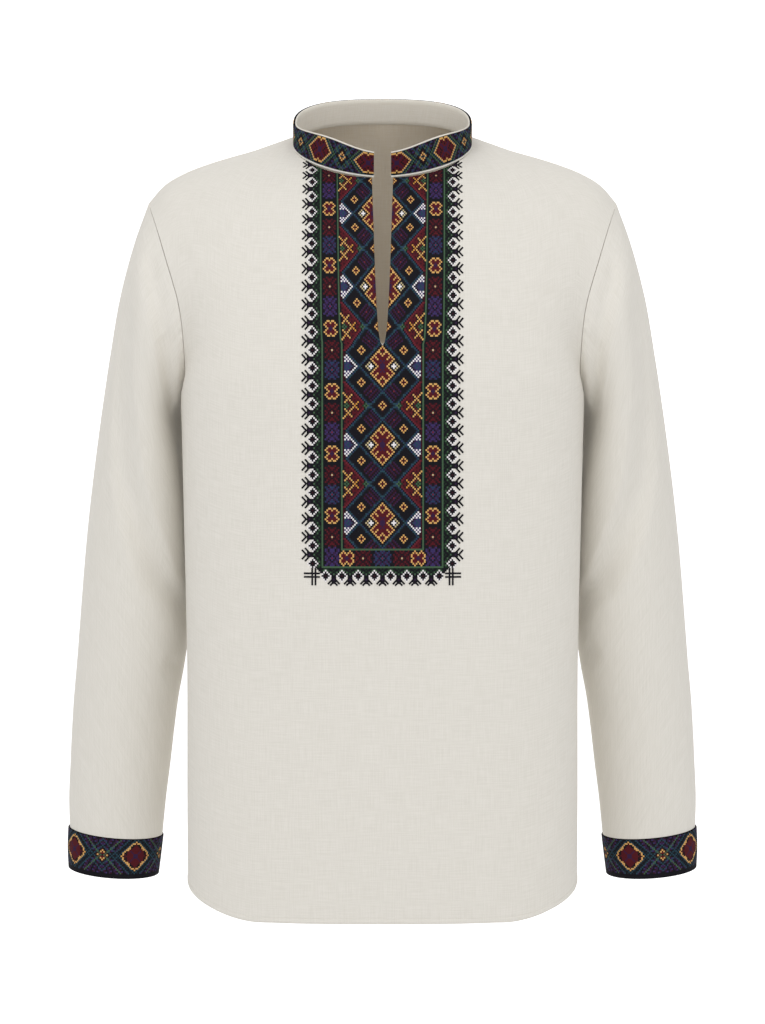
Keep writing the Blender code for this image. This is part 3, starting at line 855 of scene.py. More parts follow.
@dataclass
class Panel:
    """The front or back of the body: cloth with soft folds, a turned hem and, at the front, the slit."""

    form: ShirtForm
    side: Side
    flat: tuple
    flat_area: float
    folds: tuple
    cloth: float = 1.5
    seam_gap: float = 0.3
    times: int = 7
    hem_depth: float = 5.0
    hem_rise: float = 0.45
    hem_groove: float = 0.5
    # Rows of the hem: the roll starts above the edge and ends below its depth, before the stitched groove
    roll_start: float = 0.5
    roll_end: float = 0.9
    groove_below: float = 0.2
    flat_above: float = 0.6
    row_gap: float = 0.1
    foot_fade: float = 8.0
    foot_share: float = 0.3
    top_fade: float = 10.0
    side_fade: float = 12.0
    grid: np.ndarray = field(init=False)
    normals: np.ndarray = field(init=False)

    def __post_init__(self) -> None:
        """Works out the panel's points, with its folds sunk in."""
        grid = self.form.panel(self.side, self.times)
        normals = normals_of(grid) * -self.side.value
        self.grid = grid - self.sinking(grid)[..., None] * normals
        self.normals = normals_of(self.grid) * -self.side.value

    def sinking(self, grid: np.ndarray) -> np.ndarray:
        """How far the folds sink the cloth at each point; they fade towards the panel's edges."""
        depth = np.zeros(grid.shape[:2])
        flat = grid[..., [0, 2]]
        for fold in self.folds:
            start = np.array([fold.start_x, fold.start_z])
            end = np.array([fold.end_x, fold.end_z])
            depth += fold.depth * swell(distance_to_line(flat, start, end), fold.half_width)
        rows = np.linspace(0.0, 1.0, len(grid))[:, None]
        edge_fade = np.clip(rows * self.foot_fade, self.foot_share, 1.0)
        edge_fade = edge_fade * np.clip((1 - rows) * self.top_fade, 0.0, 1.0)
        across = np.abs(np.linspace(-1.0, 1.0, grid.shape[1]))[None, :]
        return depth * edge_fade * np.clip((1 - across) * self.side_fade, 0.0, 1.0)

    def hem_rows(self, grid: np.ndarray, normals: np.ndarray) -> tuple:
        """The grid with extra rows close to the hem, where the cloth is turned up and stitched.

        Args:
            grid: the panel's points.
            normals: their outward directions.

        Returns:
            The grid and the normals with the added rows.
        """
        up = grid[1] - grid[0]
        length = np.linalg.norm(up, axis=1, keepdims=True)
        rows = [grid[0]]
        roll = ((self.roll_start, 1.0), (self.hem_depth - self.roll_end, 1.0))
        groove = (self.hem_depth - self.groove_below, -self.hem_groove)
        for height, rise in (*roll, groove):
            rows.append(grid[0] + up / length * height + normals[0] * self.hem_rise * rise)
        top = min(self.hem_depth + self.flat_above, float(length.min()) - self.row_gap)
        rows.append(grid[0] + up / length * top)
        ways = np.concatenate([np.repeat(normals[:1], len(rows), axis=0), normals[1:]])
        return np.vstack([rows, grid[1:]]), ways

    def trimmed(self, grid: np.ndarray) -> np.ndarray:
        """The grid with its top and sides drawn back by half the seam gap."""
        grid = grid.copy()
        top = (np.s_[-1, :], np.s_[-2, :])
        sides = ((np.s_[:, 0], np.s_[:, 1]), (np.s_[:, -1], np.s_[:, -2]))
        for edge, inside in (top, *sides):
            way = grid[inside] - grid[edge]
            grid[edge] += self.seam_gap / 2 * way / np.linalg.norm(way, axis=1, keepdims=True)
        return grid

    def build(self, material: Material, inside: Material) -> Object:
        """Makes the panel.

        Args:
            material: its linen.
            inside: the linen of its inner side, painted lighter and warmer than the outer linen as painted
                light for the shaded inside.

        Returns:
            The new object.
        """
        name = self.side.name.lower()
        grid, normals = self.hem_rows(self.trimmed(self.grid), self.normals)
        rows, columns = grid.shape[:2]
        middle = columns // 2
        numbers = np.arange(rows * columns).reshape(rows, columns)
        points = grid.reshape(-1, 3)
        ways = normals.reshape(-1, 3)
        flat = flat_places(grid, middle).reshape(-1, 2)
        right = numbers[:, : middle + 1].copy()
        if self.side is Side.FRONT:
            added = rows - len(self.grid)
            coarse_row = (np.arange(rows) - added) / self.times
            gap = self.form.slit_gap(coarse_row)
            split = np.flatnonzero(gap > 0)
            extra = rows * columns + np.arange(len(split))
            right[split, middle] = extra
            points = np.vstack([points, points[numbers[split, middle]]])
            ways = np.vstack([ways, ways[numbers[split, middle]]])
            flat = np.vstack([flat, flat[numbers[split, middle]]])
            for half, own in ((1.0, numbers[:, middle:]), (-1.0, right)):
                moved = self.form.moved_aside(points[own, 0], gap[:, None], half)
                points[own, 0] = np.where(gap[:, None] > 0, moved, points[own, 0])
        faces = grid_faces(numbers[:, middle:]) + grid_faces(right)
        wall = Wall(points, -self.cloth * ways, faces, flat)
        piece = wall.build(f"{name}_cloth", material, inside, material)
        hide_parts(name)
        LOG.info("%s: %d faces", piece.name, len(piece.data.polygons))
        return piece

    def declare(self, piece: Object, stitched: list) -> None:
        """Turns the panel's flat cut into metres and the pieces worked on it into a list, and keeps neither.
        """
        in_metres(self.flat)
        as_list(stitched)


@dataclass
class Sleeve:
    """A long sleeve set into the armhole, with its folds and a puckered seam at the top."""

    form: ShirtForm
    folds: tuple
    flat: tuple
    flat_area: float
    rings: tuple = (
        SleeveRing(241.0, -97.0, 203.0, -262.0, 12.0, 67.0, 0.0),
        SleeveRing(253.0, -138.0, 206.0, -272.0, 16.0, 69.0, 0.0),
        SleeveRing(264.0, -195.0, 204.0, -286.0, 21.0, 70.0, 0.0),
        SleeveRing(273.0, -250.0, 198.5, -307.0, 26.0, 68.5, 0.0),
        SleeveRing(280.5, -302.0, 193.0, -336.0, 30.0, 66.0, 0.0),
        SleeveRing(287.5, -356.0, 189.5, -374.0, 34.0, 63.0, 0.5),
        SleeveRing(293.5, -413.0, 189.5, -421.0, 38.0, 60.0, 1.0),
        SleeveRing(298.0, -465.0, 189.8, -467.0, 42.0, 57.0, 1.5),
        SleeveRing(302.0, -512.0, 195.0, -512.0, 46.0, 53.0, 2.0),
        SleeveRing(306.3, -558.0, 203.0, -556.0, 50.0, 48.5, 2.5),
        SleeveRing(309.5, -612.0, 209.5, -609.0, 54.0, 44.0, 3.0),
        SleeveRing(311.5, -655.0, 215.5, -656.0, 57.0, 40.0, 3.5),
        SleeveRing(311.0, -680.0, 218.8, -688.0, 58.5, 37.5, 3.5),
    )
    coarse_rows: int = 16
    times: int = 8
    length: float = 640.0
    girth: float = 350.0
    cloth: float = 1.5
    seam_gap: float = 0.5
    fade_in: float = 0.03
    fade_out: float = 0.12
    fold_steepness: float = 2.5
    underarm_turn: float = 0.57
    underarm_width: float = 30.0
    underarm_down: float = 0.145
    underarm_length: float = 66.0
    underarm_depth: float = 17.0
    pucker_depth: float = 0.45
    pucker_reach: float = 16.0
    puckers: int = 46
    pucker_groups: int = 7
    pucker_share: float = 0.6

    def base_grid(self) -> np.ndarray:
        """The smooth left sleeve, rows from the armhole down and columns round it from the outer side."""
        front = self.form.armhole_edge(Side.FRONT)[::-1]
        back = self.form.armhole_edge(Side.BACK)
        armhole = np.vstack([front, back[1:-1]])
        count = len(armhole)
        rings = np.array([armhole] + [ring_points(ring, count) for ring in self.rings])
        knots = run_lengths(rings.mean(axis=1))
        flat = rings.reshape(len(rings), -1)
        slopes = np.gradient(flat, knots, axis=0)
        places = np.linspace(0.0, knots[-1], self.coarse_rows + 1)
        grid = hermite_rows(knots, flat, slopes, places).reshape(self.coarse_rows + 1, count, 3)
        return finer(grid, self.times, closed=True)

    def sinking(self, rows: int, columns: int) -> np.ndarray:
        """How far the cloth sinks at each point of the grid: its folds and the pucker along the armhole."""
        down, turn = np.meshgrid(np.linspace(0.0, 1.0, rows), np.arange(columns) / columns, indexing="ij")
        depth = np.zeros((rows, columns))
        for fold in self.folds:
            for wrap in (-1.0, 0.0, 1.0):
                here = np.stack([(turn + wrap) * self.girth, down * self.length], axis=2)
                start = np.array([fold.start_turn * self.girth, fold.start_down * self.length])
                end = np.array([fold.end_turn * self.girth, fold.end_down * self.length])
                fold_depth = fold.depth * swell(distance_to_line(here, start, end), fold.half_width)
                depth = np.maximum(depth, fold_depth)
        fade = np.clip(down / self.fade_in, 0.0, 1.0) * np.clip((1 - down) / self.fade_out, 0.0, 1.0)
        near_seam = np.exp(-((down * self.length / self.pucker_reach) ** 2))
        angle = turn * 2 * math.pi
        groups = (1 - self.pucker_share) * np.sin(angle * self.pucker_groups + 1.0)
        ripple = np.sin(angle * self.puckers) * (self.pucker_share + groups)
        return depth * fade + self.pucker_depth * near_seam * (ripple + self.pucker_share)

    def folded(self, grid: np.ndarray) -> np.ndarray:
        """The sleeve with its folds pressed in from the front and the back, so its outline stays as it is."""
        outward = normals_of(grid, closed=True)
        inwards = -np.clip(outward[..., 1] * self.fold_steepness, -1.0, 1.0)
        folded = grid.copy()
        folded[..., 1] += inwards * self.sinking(*grid.shape[:2])
        folded[..., 0] -= self.underarm_swell(*grid.shape[:2])
        return folded

    def underarm_swell(self, rows: int, columns: int) -> np.ndarray:
        """How far the cloth behind the arm reaches towards the body, closing the view below the armhole."""
        down, turn = np.meshgrid(np.linspace(0.0, 1.0, rows), np.arange(columns) / columns, indexing="ij")
        round_the_arm = np.exp(-(((turn - self.underarm_turn) * self.girth / self.underarm_width) ** 2))
        along_the_arm = np.exp(-(((down - self.underarm_down) * self.length / self.underarm_length) ** 2))
        start = np.clip(down / self.fade_in, 0.0, 1.0)
        return self.underarm_depth * round_the_arm * along_the_arm * start

    def build(self, name: str, half: float, material: object, inside: object) -> Object:
        """Makes one sleeve.

        Args:
            name: the sleeve's node.
            half: 1 for the wearer's left, -1 for the right.
            material: the linen.
            inside: the linen of its inner side, painted lighter and warmer than the outer linen as painted
                light for the shaded inside.

        Returns:
            The new object.
        """
        grid = self.base_grid()
        way = grid[1] - grid[0]
        grid[0] += self.seam_gap * way / np.linalg.norm(way, axis=1, keepdims=True)
        grid = self.folded(grid)
        outward = normals_of(grid, closed=True)
        sign = np.array([half, 1.0, 1.0])
        rows, columns = grid.shape[:2]
        around = np.concatenate([grid, grid[:, :1]], axis=1)
        flat = flat_places(around)[:, :columns].reshape(-1, 2)
        numbers = np.arange(rows * columns).reshape(rows, columns)
        points = grid.reshape(-1, 3) * sign
        inward = -self.cloth * outward.reshape(-1, 3) * sign
        wall = Wall(points, inward, grid_faces(numbers, closed=True), flat)
        piece = wall.build(f"{name}_cloth", material, inside, material)
        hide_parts(name)
        in_metres(self.flat)
        LOG.info("%s: %d faces", piece.name, len(piece.data.polygons))
        return piece


@dataclass
class StitchSheet:
    """Cross stitches worked side by side: each square of the chart is a raised cross of thread.

    A square is a fan of eight faces: its middle is the highest, its corners, where the strands go down, are
    lower, and the middles of its sides the lowest. The underside is flat and lies on the cloth.
    """

    name: str
    lift: float = 0.1
    height: float = 0.55
    corner_share: float = 0.62
    side_share: float = 0.25
    stroke_rise: float = 1.1
    sharp_angle: float = 60.0
    columns: dict = field(default_factory=dict)
    outward: dict = field(default_factory=dict)
    across: dict = field(default_factory=dict)
    vertices: list = field(default_factory=list)
    places: list = field(default_factory=list)
    known: dict = field(default_factory=dict)
    faces: list = field(default_factory=list)
    threads: list = field(default_factory=list)

    def add_column(self, key: object, points: np.ndarray, outward: np.ndarray, across: float) -> None:
        """Adds a line of corners between two columns of stitches.

        Args:
            key: a name for the line, by which squares refer to it.
            points: a corner for each line between two rows.
            outward: the cloth's directions there.
            across: the line's place on the chart.
        """
        self.columns[key] = points
        self.outward[key] = outward
        self.across[key] = across

    def vertex(self, kind: str, spots: tuple, rise: float) -> int:
        """The number of a vertex, which is made when it is first asked for.

        Args:
            kind: which sort of vertex this is.
            spots: the corners that it lies midway between, each a line's key and a row.
            rise: its height above the cloth.

        Returns:
            The vertex number.
        """
        name = (kind, spots)
        if name not in self.known:
            here = sum(self.columns[key][row] for key, row in spots) / len(spots)
            way = sum(self.outward[key][row] for key, row in spots) / len(spots)
            self.known[name] = len(self.vertices)
            self.vertices.append(here + way * rise)
            self.places.append([sum(self.across[key] for key, _ in spots), sum(row for _, row in spots)])
            self.places[-1] = [value / len(spots) for value in self.places[-1]]
        return self.known[name]

    def add_square(self, left: object, right: object, row: int, thread: Thread, open_sides: tuple) -> None:
        """Adds one stitch.

        Args:
            left: the line of corners on its left.
            right: the line on its right.
            row: its row on the chart.
            thread: its thread.
            open_sides: whether nothing lies beside it below, on the right, above and on the left.
        """
        spots = ((left, row), (right, row), (right, row + 1), (left, row + 1))
        rise = self.lift + self.height * self.corner_share
        corners = [self.vertex("corner", (spot,), rise) for spot in spots]
        under = [self.vertex("under", (spot,), self.lift / 2) for spot in spots]
        middle = self.vertex("middle", spots, self.lift + self.height)
        rise = self.lift + self.height * self.side_share
        sides = []
        for first, second in zip(spots, (*spots[1:], spots[0])):
            pair = tuple(sorted((first, second), key=str))
            sides.append(self.vertex("side", pair, rise))
        for place in range(4):
            after = (place + 1) % 4
            self.faces.append((corners[place], sides[place], middle))
            self.faces.append((sides[place], corners[after], middle))
            self.threads += [thread, thread]
            if open_sides[place]:
                self.faces.append((under[place], under[after], corners[after], sides[place], corners[place]))
                self.threads.append(thread)
        self.faces.append(tuple(reversed(under)))
        self.threads.append(thread)

    def spot(self, x: float, y: float) -> tuple:
        """The cloth's point and outward direction at a place between the corners of the squares."""
        low, under = math.floor(x), math.floor(y)
        beside, above = x - low, y - under
        found = []
        for lines in (self.columns, self.outward):
            left = lines[low][under] * (1 - above) + lines[low][under + 1] * above
            right = lines[low + 1][under] * (1 - above) + lines[low + 1][under + 1] * above
            found.append(left * (1 - beside) + right * beside)
        return tuple(found)

    def add_stroke(self, start: tuple, end: tuple, width: float, thread: Thread) -> None:
        """Adds a straight satin bar.

        Args:
            start: the middle of its first square, as a column and a row.
            end: the middle of its last square.
            width: its width in millimetres.
            thread: its thread.
        """
        steps = max(2, round(math.dist(start, end)))
        shares = np.linspace(0.0, 1.0, steps + 1)
        places = [tuple(a + 0.5 + (b - a) * share for a, b in zip(start, end)) for share in shares]
        spots = [self.spot(*place) for place in places]
        along = spots[-1][0] - spots[0][0]
        along = along / np.linalg.norm(along)
        section = ((-0.5, 0.0), (-0.42, 0.7), (0.0, 1.0), (0.42, 0.7), (0.5, 0.0))
        first = len(self.vertices)
        for (point, outward), place in zip(spots, places):
            side = np.cross(along, outward)
            for aside, rise in section:
                height = self.lift / 2 + rise * self.height * self.stroke_rise
                self.vertices.append(point + side * aside * width + outward * height)
                self.places.append([place[0] - 0.5, place[1]])
        count = len(section)
        for step in range(steps):
            here = first + step * count
            for place in range(count):
                after = (place + 1) % count
                self.faces.append((here + place, here + after, here + after + count, here + place + count))
        self.faces.append(tuple(range(first + count - 1, first - 1, -1)))
        last = first + steps * count
        self.faces.append(tuple(range(last, last + count)))
        self.threads += [thread] * (steps * count + 2)

    def build(self, finish: FlossFinish, library: dict) -> Object:
        """Makes the sheet of stitches.

        Args:
            finish: how the floss looks.
            library: the thread materials made so far, which grows as new ones are needed.

        Returns:
            The new object.
        """
        used = sorted(set(self.threads), key=lambda thread: thread.name)
        for thread in used:
            if thread not in library:
                library[thread] = finish.material(thread)
        floss = [library[thread] for thread in used]
        points = np.array(self.vertices)
        places = np.array(self.places)
        piece = add_mesh(self.name, points, self.faces, places, floss, "Chart", self.sharp_angle)
        numbers = {thread: number for number, thread in enumerate(used)}
        piece.data.polygons.foreach_set("material_index", [numbers[thread] for thread in self.threads])
        LOG.info("%s: %d faces of stitches", piece.name, len(self.faces))
        return piece


def from_motif(rows: tuple, across: int, up: int) -> Optional[Thread]:
    """The thread of a quarter motif at this distance from its middle, or None outside it or at a dot."""
    if up >= len(rows) or across >= len(rows[up]):
        return None
    return THREADS.get(rows[up][across])


@dataclass(frozen=True)
class PanelChart:
    """The chart of the front's embroidery: a lattice field between lines, a rosette band and a fir border.

    Columns run from the middle outward, the same on both sides. Rows run up from the lowest border tips.
    """

    first_rosette: int = 35
    repeat: int = 44
    inner_line: int = 25
    inner_line_row: int = 20
    outer_line: int = 37
    outer_line_row: int = 10
    last_column: int = 50
    band_first: int = 39
    band_repeat: int = 35
    border_repeat: int = 10
    border_first: int = 2
    side_border_centre: int = 6
    bottom_border_centre: int = 5
    branch_width: float = 1.75
    # Branches from a fir's stem: across and along at the start, then at the end
    side_branches: tuple = ((2, 1, 4.7, 3.7), (4, 0, 6.6, 2.6))
    low_branches: tuple = ((2, 1, 4.6, 3.6), (3.2, 0, 5.4, 2.2))
    branch_room: int = 5
    last_row: int = 400
    last_fir: int = 30
    # The crossed double lines at a lower corner, each by its two ends
    corner_bars: tuple = (
        ((41.3, -0.3), (41.3, 9.4)),
        ((38.6, 4.4), (48.4, 4.4)),
        ((43.3, -0.3), (43.3, 9.4)),
        ((38.6, 6.4), (48.4, 6.4)),
    )
    # Quarter motifs, from the middle (first letter of the first row) outward and up; a dot is the ground
    large_rosette: tuple = (
        "pprg..www.c.",
        "pprrg..w.c..",
        "prrrrg..c...",
        "rprrrrg.....",
        "rrrgrrrg....",
        "rrrrgrg.....",
        "grrrrg......",
        "rgrrg.......",
        "r.gg........",
        "rrg.........",
        "rg..........",
        "g...........",
    )
    band_rosette: tuple = (
        "ppg..",
        "prrg.",
        "rrrrg",
        "grrg.",
        ".gg..",
    )
    band_flower: tuple = (
        "yx.xy",
        "x.yyx",
        ".yxy.",
        "xyyx.",
        "xx.yx",
        ".yx..",
    )

    def lattice(self, across: int, row: int) -> Thread:
        """The field: rhombs with rosettes, crossed by bands edged in teal.

        Args:
            across: columns from the middle.
            row: the chart's row.

        Returns:
            The thread.
        """
        half = self.repeat // 2
        up = abs((row - self.first_rosette + half) % self.repeat - half)
        total = across + up
        if across - up >= 16:
            return self.half_diamond(across, up)
        if total >= 31:
            return self.hooked_branch(across, half - up)
        if up - across >= 16:
            return self.small_square(across + half - up)
        if total <= 13:
            return from_motif(self.large_rosette, across, up) or Thread.NIGHT
        if total in (14, 15, 29, 30) or abs(across - up) in (14, 15):
            return self.lattice_line(across, up)
        return self.band_filling(across, up)

    def lattice_line(self, across: int, up: int) -> Thread:
        """The two rows of stitches that edge a band: one bright, one dull."""
        bright = (across + up) in (14, 30) or abs(across - up) == 14
        if bright:
            return Thread.BLUE if across % 3 == 0 else Thread.TEAL
        return Thread.TEAL if (across + 2 * up) % 5 == 0 else Thread.SLATE

    def small_square(self, away: int) -> Thread:
        """The small rhomb where two bands cross: a gold square on red and night."""
        if away == 2:
            return Thread.GOLD
        if away <= 1:
            return Thread.OXBLOOD if away == 0 else Thread.MAROON
        return Thread.MAROON if away == 3 else Thread.NIGHT

    def band_filling(self, across: int, up: int) -> Thread:
        """The inside of a band: a gold square towards its outer end and plum work towards its inner end."""
        square = abs(across - 13) + abs(up - 9)
        if square == 2:
            return Thread.GOLD
        if square < 2:
            return Thread.OXBLOOD if square == 1 else Thread.NIGHT
        work = abs(across - 7) + abs(up - 14)
        if work == 0:
            return Thread.RED
        if work <= 5:
            return (Thread.PLUM, Thread.MAROON, Thread.NIGHT)[(across * 2 + up) % 3]
        return Thread.NIGHT

    def half_diamond(self, across: int, up: int) -> Thread:
        """The white-edged half diamond against the inner line, with blue and violet inside."""
        away = abs(across - 22) + up
        if away == 6 and across <= 23:
            return Thread.WHITE
        if away > 6 or across == 24:
            return Thread.MAROON if across >= 23 else Thread.NIGHT
        if up >= 3:
            return Thread.WHITE if (across + up) % 2 == 0 else Thread.VIOLET
        if away == 5:
            return Thread.NIGHT
        return (Thread.BLUE, Thread.TEAL, Thread.VIOLET)[(across + up) % 3] if away <= 3 else Thread.PLUM

    def hooked_branch(self, across: int, aside: int) -> Thread:
        """The red triangle between the bands and the inner line, with its hooked gold crosses."""
        inside = across - aside
        if across + aside <= 12:
            return Thread.GREEN if (across + aside) % 2 else Thread.PINE
        if inside <= 9:
            return Thread.NIGHT
        if inside <= 11:
            return Thread.RED if inside == 10 else Thread.OXBLOOD
        out = across - 17
        strand = aside == abs(out) and out >= -3
        hook = (out, aside) in ((-2, 4), (-1, 5), (2, 8), (1, 7))
        crossing = out + aside == 8 and 2 <= out <= 6
        if strand or hook or crossing:
            return Thread.AMBER if (out + aside) % 5 == 0 else Thread.GOLD
        if abs(out - 5) + aside <= 2:
            return Thread.GREEN if abs(out - 5) + aside == 1 else Thread.PINE
        if across >= 24:
            return Thread.NIGHT
        if abs(abs(out) - aside) == 1 or abs(out + aside - 8) == 1:
            return Thread.NIGHT if (across + aside) % 4 == 0 else Thread.MAROON
        return (Thread.OXBLOOD, Thread.MAROON, Thread.OXBLOOD, Thread.OXBLOOD)[(across * 3 + aside * 2) % 4]

    def flower(self, across: int, up: int, light: Thread, dark: Thread, heart: Thread) -> Thread:
        """A block of the band worked in two near shades with a bright heart."""
        if across == 0 and up == 0:
            return heart
        if up >= len(self.band_flower) or across >= len(self.band_flower[0]):
            return Thread.NIGHT
        letter = self.band_flower[up][across]
        return {"x": light, "y": dark}.get(letter, Thread.NIGHT)

    def band(self, along: float, across: int, turned: int) -> Thread:
        """A band motif: rosette, plum or maroon block.

        Args:
            along: distance along the band from the nearest rosette, positive towards the plum block.
            across: distance from the band's middle line.
            turned: which block follows, counted from the rosette.

        Returns:
            The thread.
        """
        third = self.band_repeat / 3
        if abs(along) < third / 2:
            near = abs(round(along))
            return from_motif(self.band_rosette, across, near) or Thread.NIGHT
        near = abs(round(abs(along) - third))
        if along > 0:
            light = Thread.VIOLET if turned % 2 else Thread.BLUE
            return self.flower(across, near, light, Thread.PLUM, Thread.RED)
        return self.flower(across, near, Thread.OXBLOOD, Thread.MAROON, Thread.CREAM)

    def side_band(self, across: int, row: int) -> Thread:
        """The band between the inner and the outer line, up the side."""
        step = (row - self.band_first + self.band_repeat // 2) // self.band_repeat
        along = (row - self.band_first) - step * self.band_repeat
        middle = (self.inner_line + self.outer_line) // 2
        if abs(across - middle) > 4:
            return Thread.NIGHT if abs(across - middle) == 5 else Thread.MAROON
        return self.band(along, abs(across - middle), step)

    def bottom_band(self, across: int, row: int) -> Thread:
        """The band below the field: plum in the middle and the corners, rosettes and maroon between."""
        up = abs(row - (self.inner_line_row + self.outer_line_row) // 2)
        if across >= 27:
            return self.flower(abs(across - 31), up, Thread.VIOLET, Thread.PLUM, Thread.RED)
        if across >= 18:
            return from_motif(self.band_rosette, up, abs(across - 22)) or Thread.NIGHT
        if across >= 7:
            return self.flower(up, abs(across - 12), Thread.OXBLOOD, Thread.MAROON, Thread.CREAM)
        return self.flower(up, across, Thread.BLUE, Thread.PLUM, Thread.RED)

    def border(self, out: int, along: int, centre: int) -> Optional[Thread]:
        """The border: a green zigzag, white diamonds and the trunks of the firs between them.

        Args:
            out: distance from the outer line.
            along: distance along the border from the nearest diamond, 0 to 5.
            centre: distance of the diamonds' middles from the outer line.

        Returns:
            The thread, or None where the linen is bare.
        """
        away = abs(out - centre) + along
        zigzag = 1 + round(along * (centre - 2) / 5)
        if out < zigzag:
            return (Thread.PINE, Thread.NIGHT, Thread.NIGHT)[(out * 2 + along) % 3]
        if away == 3:
            return Thread.WHITE
        if away < 3:
            return Thread.MAROON if away == 0 else Thread.NIGHT
        if out == zigzag:
            return Thread.GREEN if along % 2 else Thread.PINE
        if out < centre:
            return Thread.NIGHT
        aside = 5 - along
        if aside == 0 and out <= centre + 4:
            return Thread.PLUM if out == centre + 2 else Thread.NIGHT
        if aside == 1 and out <= centre + 3:
            return Thread.NIGHT
        return None

    def corner(self, across: int, row: int) -> Optional[Thread]:
        """The black ground at the two lower corners, cut off aslant."""
        out = across - self.outer_line
        down = self.outer_line_row - row
        return Thread.NIGHT if out + down <= 4 else None

    def strokes(self, top_row: Callable[[float], float]) -> list:
        """The straight bars of the border: branches of the firs, and crossed lines at the corners.

        Args:
            top_row: gives the last row that a column reaches.

        Returns:
            For each bar its two ends, as column and row, on the wearer's left.
        """
        bars = []
        side = self.outer_line + self.side_border_centre
        low = self.outer_line_row - self.bottom_border_centre
        half = self.border_repeat // 2
        for row in range(self.border_first + self.border_repeat + half, self.last_row, self.border_repeat):
            if row + self.branch_room > top_row(side + self.side_border_centre):
                break
            for turn in (-1, 1):
                for out, along, far_out, far_along in self.side_branches:
                    bars.append(((side + out, row + turn * along), (side + far_out, row + turn * far_along)))
        for column in range(0, self.last_fir + 1, self.border_repeat):
            for turn in (-1, 1) if column else (1,):
                for out, along, far_out, far_along in self.low_branches:
                    start = (column + turn * along, low - out)
                    bars.append((start, (column + turn * far_along, low - far_out)))
        bars.extend(self.corner_bars)
        return bars

    def thread(self, column: int, row: int) -> Optional[Thread]:
        """The thread of one square.

        Args:
            column: columns from the middle, negative on the wearer's right.
            row: rows up from the lowest border tips.

        Returns:
            The thread, or None where the linen is bare.
        """
        across = abs(column)
        if row < 0 or across > self.last_column:
            return None
        if across > self.outer_line and row < self.outer_line_row:
            return self.corner(across, row)
        half = self.border_repeat // 2
        if across > self.outer_line:
            along = abs((row - self.border_first + half) % self.border_repeat - half)
            return self.border(across - self.outer_line, along, self.side_border_centre)
        if row < self.outer_line_row:
            along = half - abs((across + half) % self.border_repeat - half)
            return self.border(self.outer_line_row - row, along, self.bottom_border_centre)
        if across == self.outer_line or row == self.outer_line_row:
            return Thread.GREEN
        if row < self.inner_line_row:
            return self.bottom_band(across, row)
        if across > self.inner_line:
            return self.side_band(across, row)
        if across == self.inner_line or row == self.inner_line_row:
            return Thread.GREEN
        return self.lattice(across, row)


@dataclass(frozen=True)
class BandChart:
    """The chart of the collar and cuffs: rosettes and small squares in a fine dark teal lattice."""

    rows: int
    first: int
    repeat: int
    large_line: int
    small_line: int
    square: int
    rosette: tuple
    edge_rows: int = 0

    def thread(self, column: int, row: int) -> Optional[Thread]:
        """The thread of one square.

        Args:
            column: columns round the band.
            row: rows up from its lower edge.

        Returns:
            The thread, or None outside the band.
        """
        if not 0 <= row < self.rows:
            return None
        if row < self.edge_rows:
            return Thread.NIGHT
        half = self.repeat // 2
        across = abs((column - self.first + half) % self.repeat - half)
        up = abs(row - (self.rows + self.edge_rows) // 2)
        total = across + up
        other = half - across + up
        lines = (self.large_line, half - self.small_line)
        if total in (*lines, half - 1) or other in (self.small_line, half - self.large_line):
            return Thread.GREEN if (across + up) % 4 == 0 else Thread.TEAL
        if total < self.large_line:
            return from_motif(self.rosette, across, up) or Thread.NIGHT
        if other < self.small_line:
            return self.small_square(other)
        if lines[0] < total < lines[1]:
            return Thread.SLATE if (across * 2 + up) % 3 == 0 else Thread.NIGHT
        return self.mottled(across, up)

    def small_square(self, away: int) -> Thread:
        """The small gold square between two rosettes."""
        if away == self.square:
            return Thread.GOLD
        if away < self.square:
            return Thread.NIGHT if away == 0 else Thread.OXBLOOD
        return Thread.MAROON if away == self.square + 1 else Thread.NIGHT

    def mottled(self, across: int, up: int) -> Thread:
        """The triangles along the band's edges, worked in broken dark shades."""
        shades = "pKmKvpK"
        return THREADS[shades[(across * 3 + up * 5) % len(shades)]]


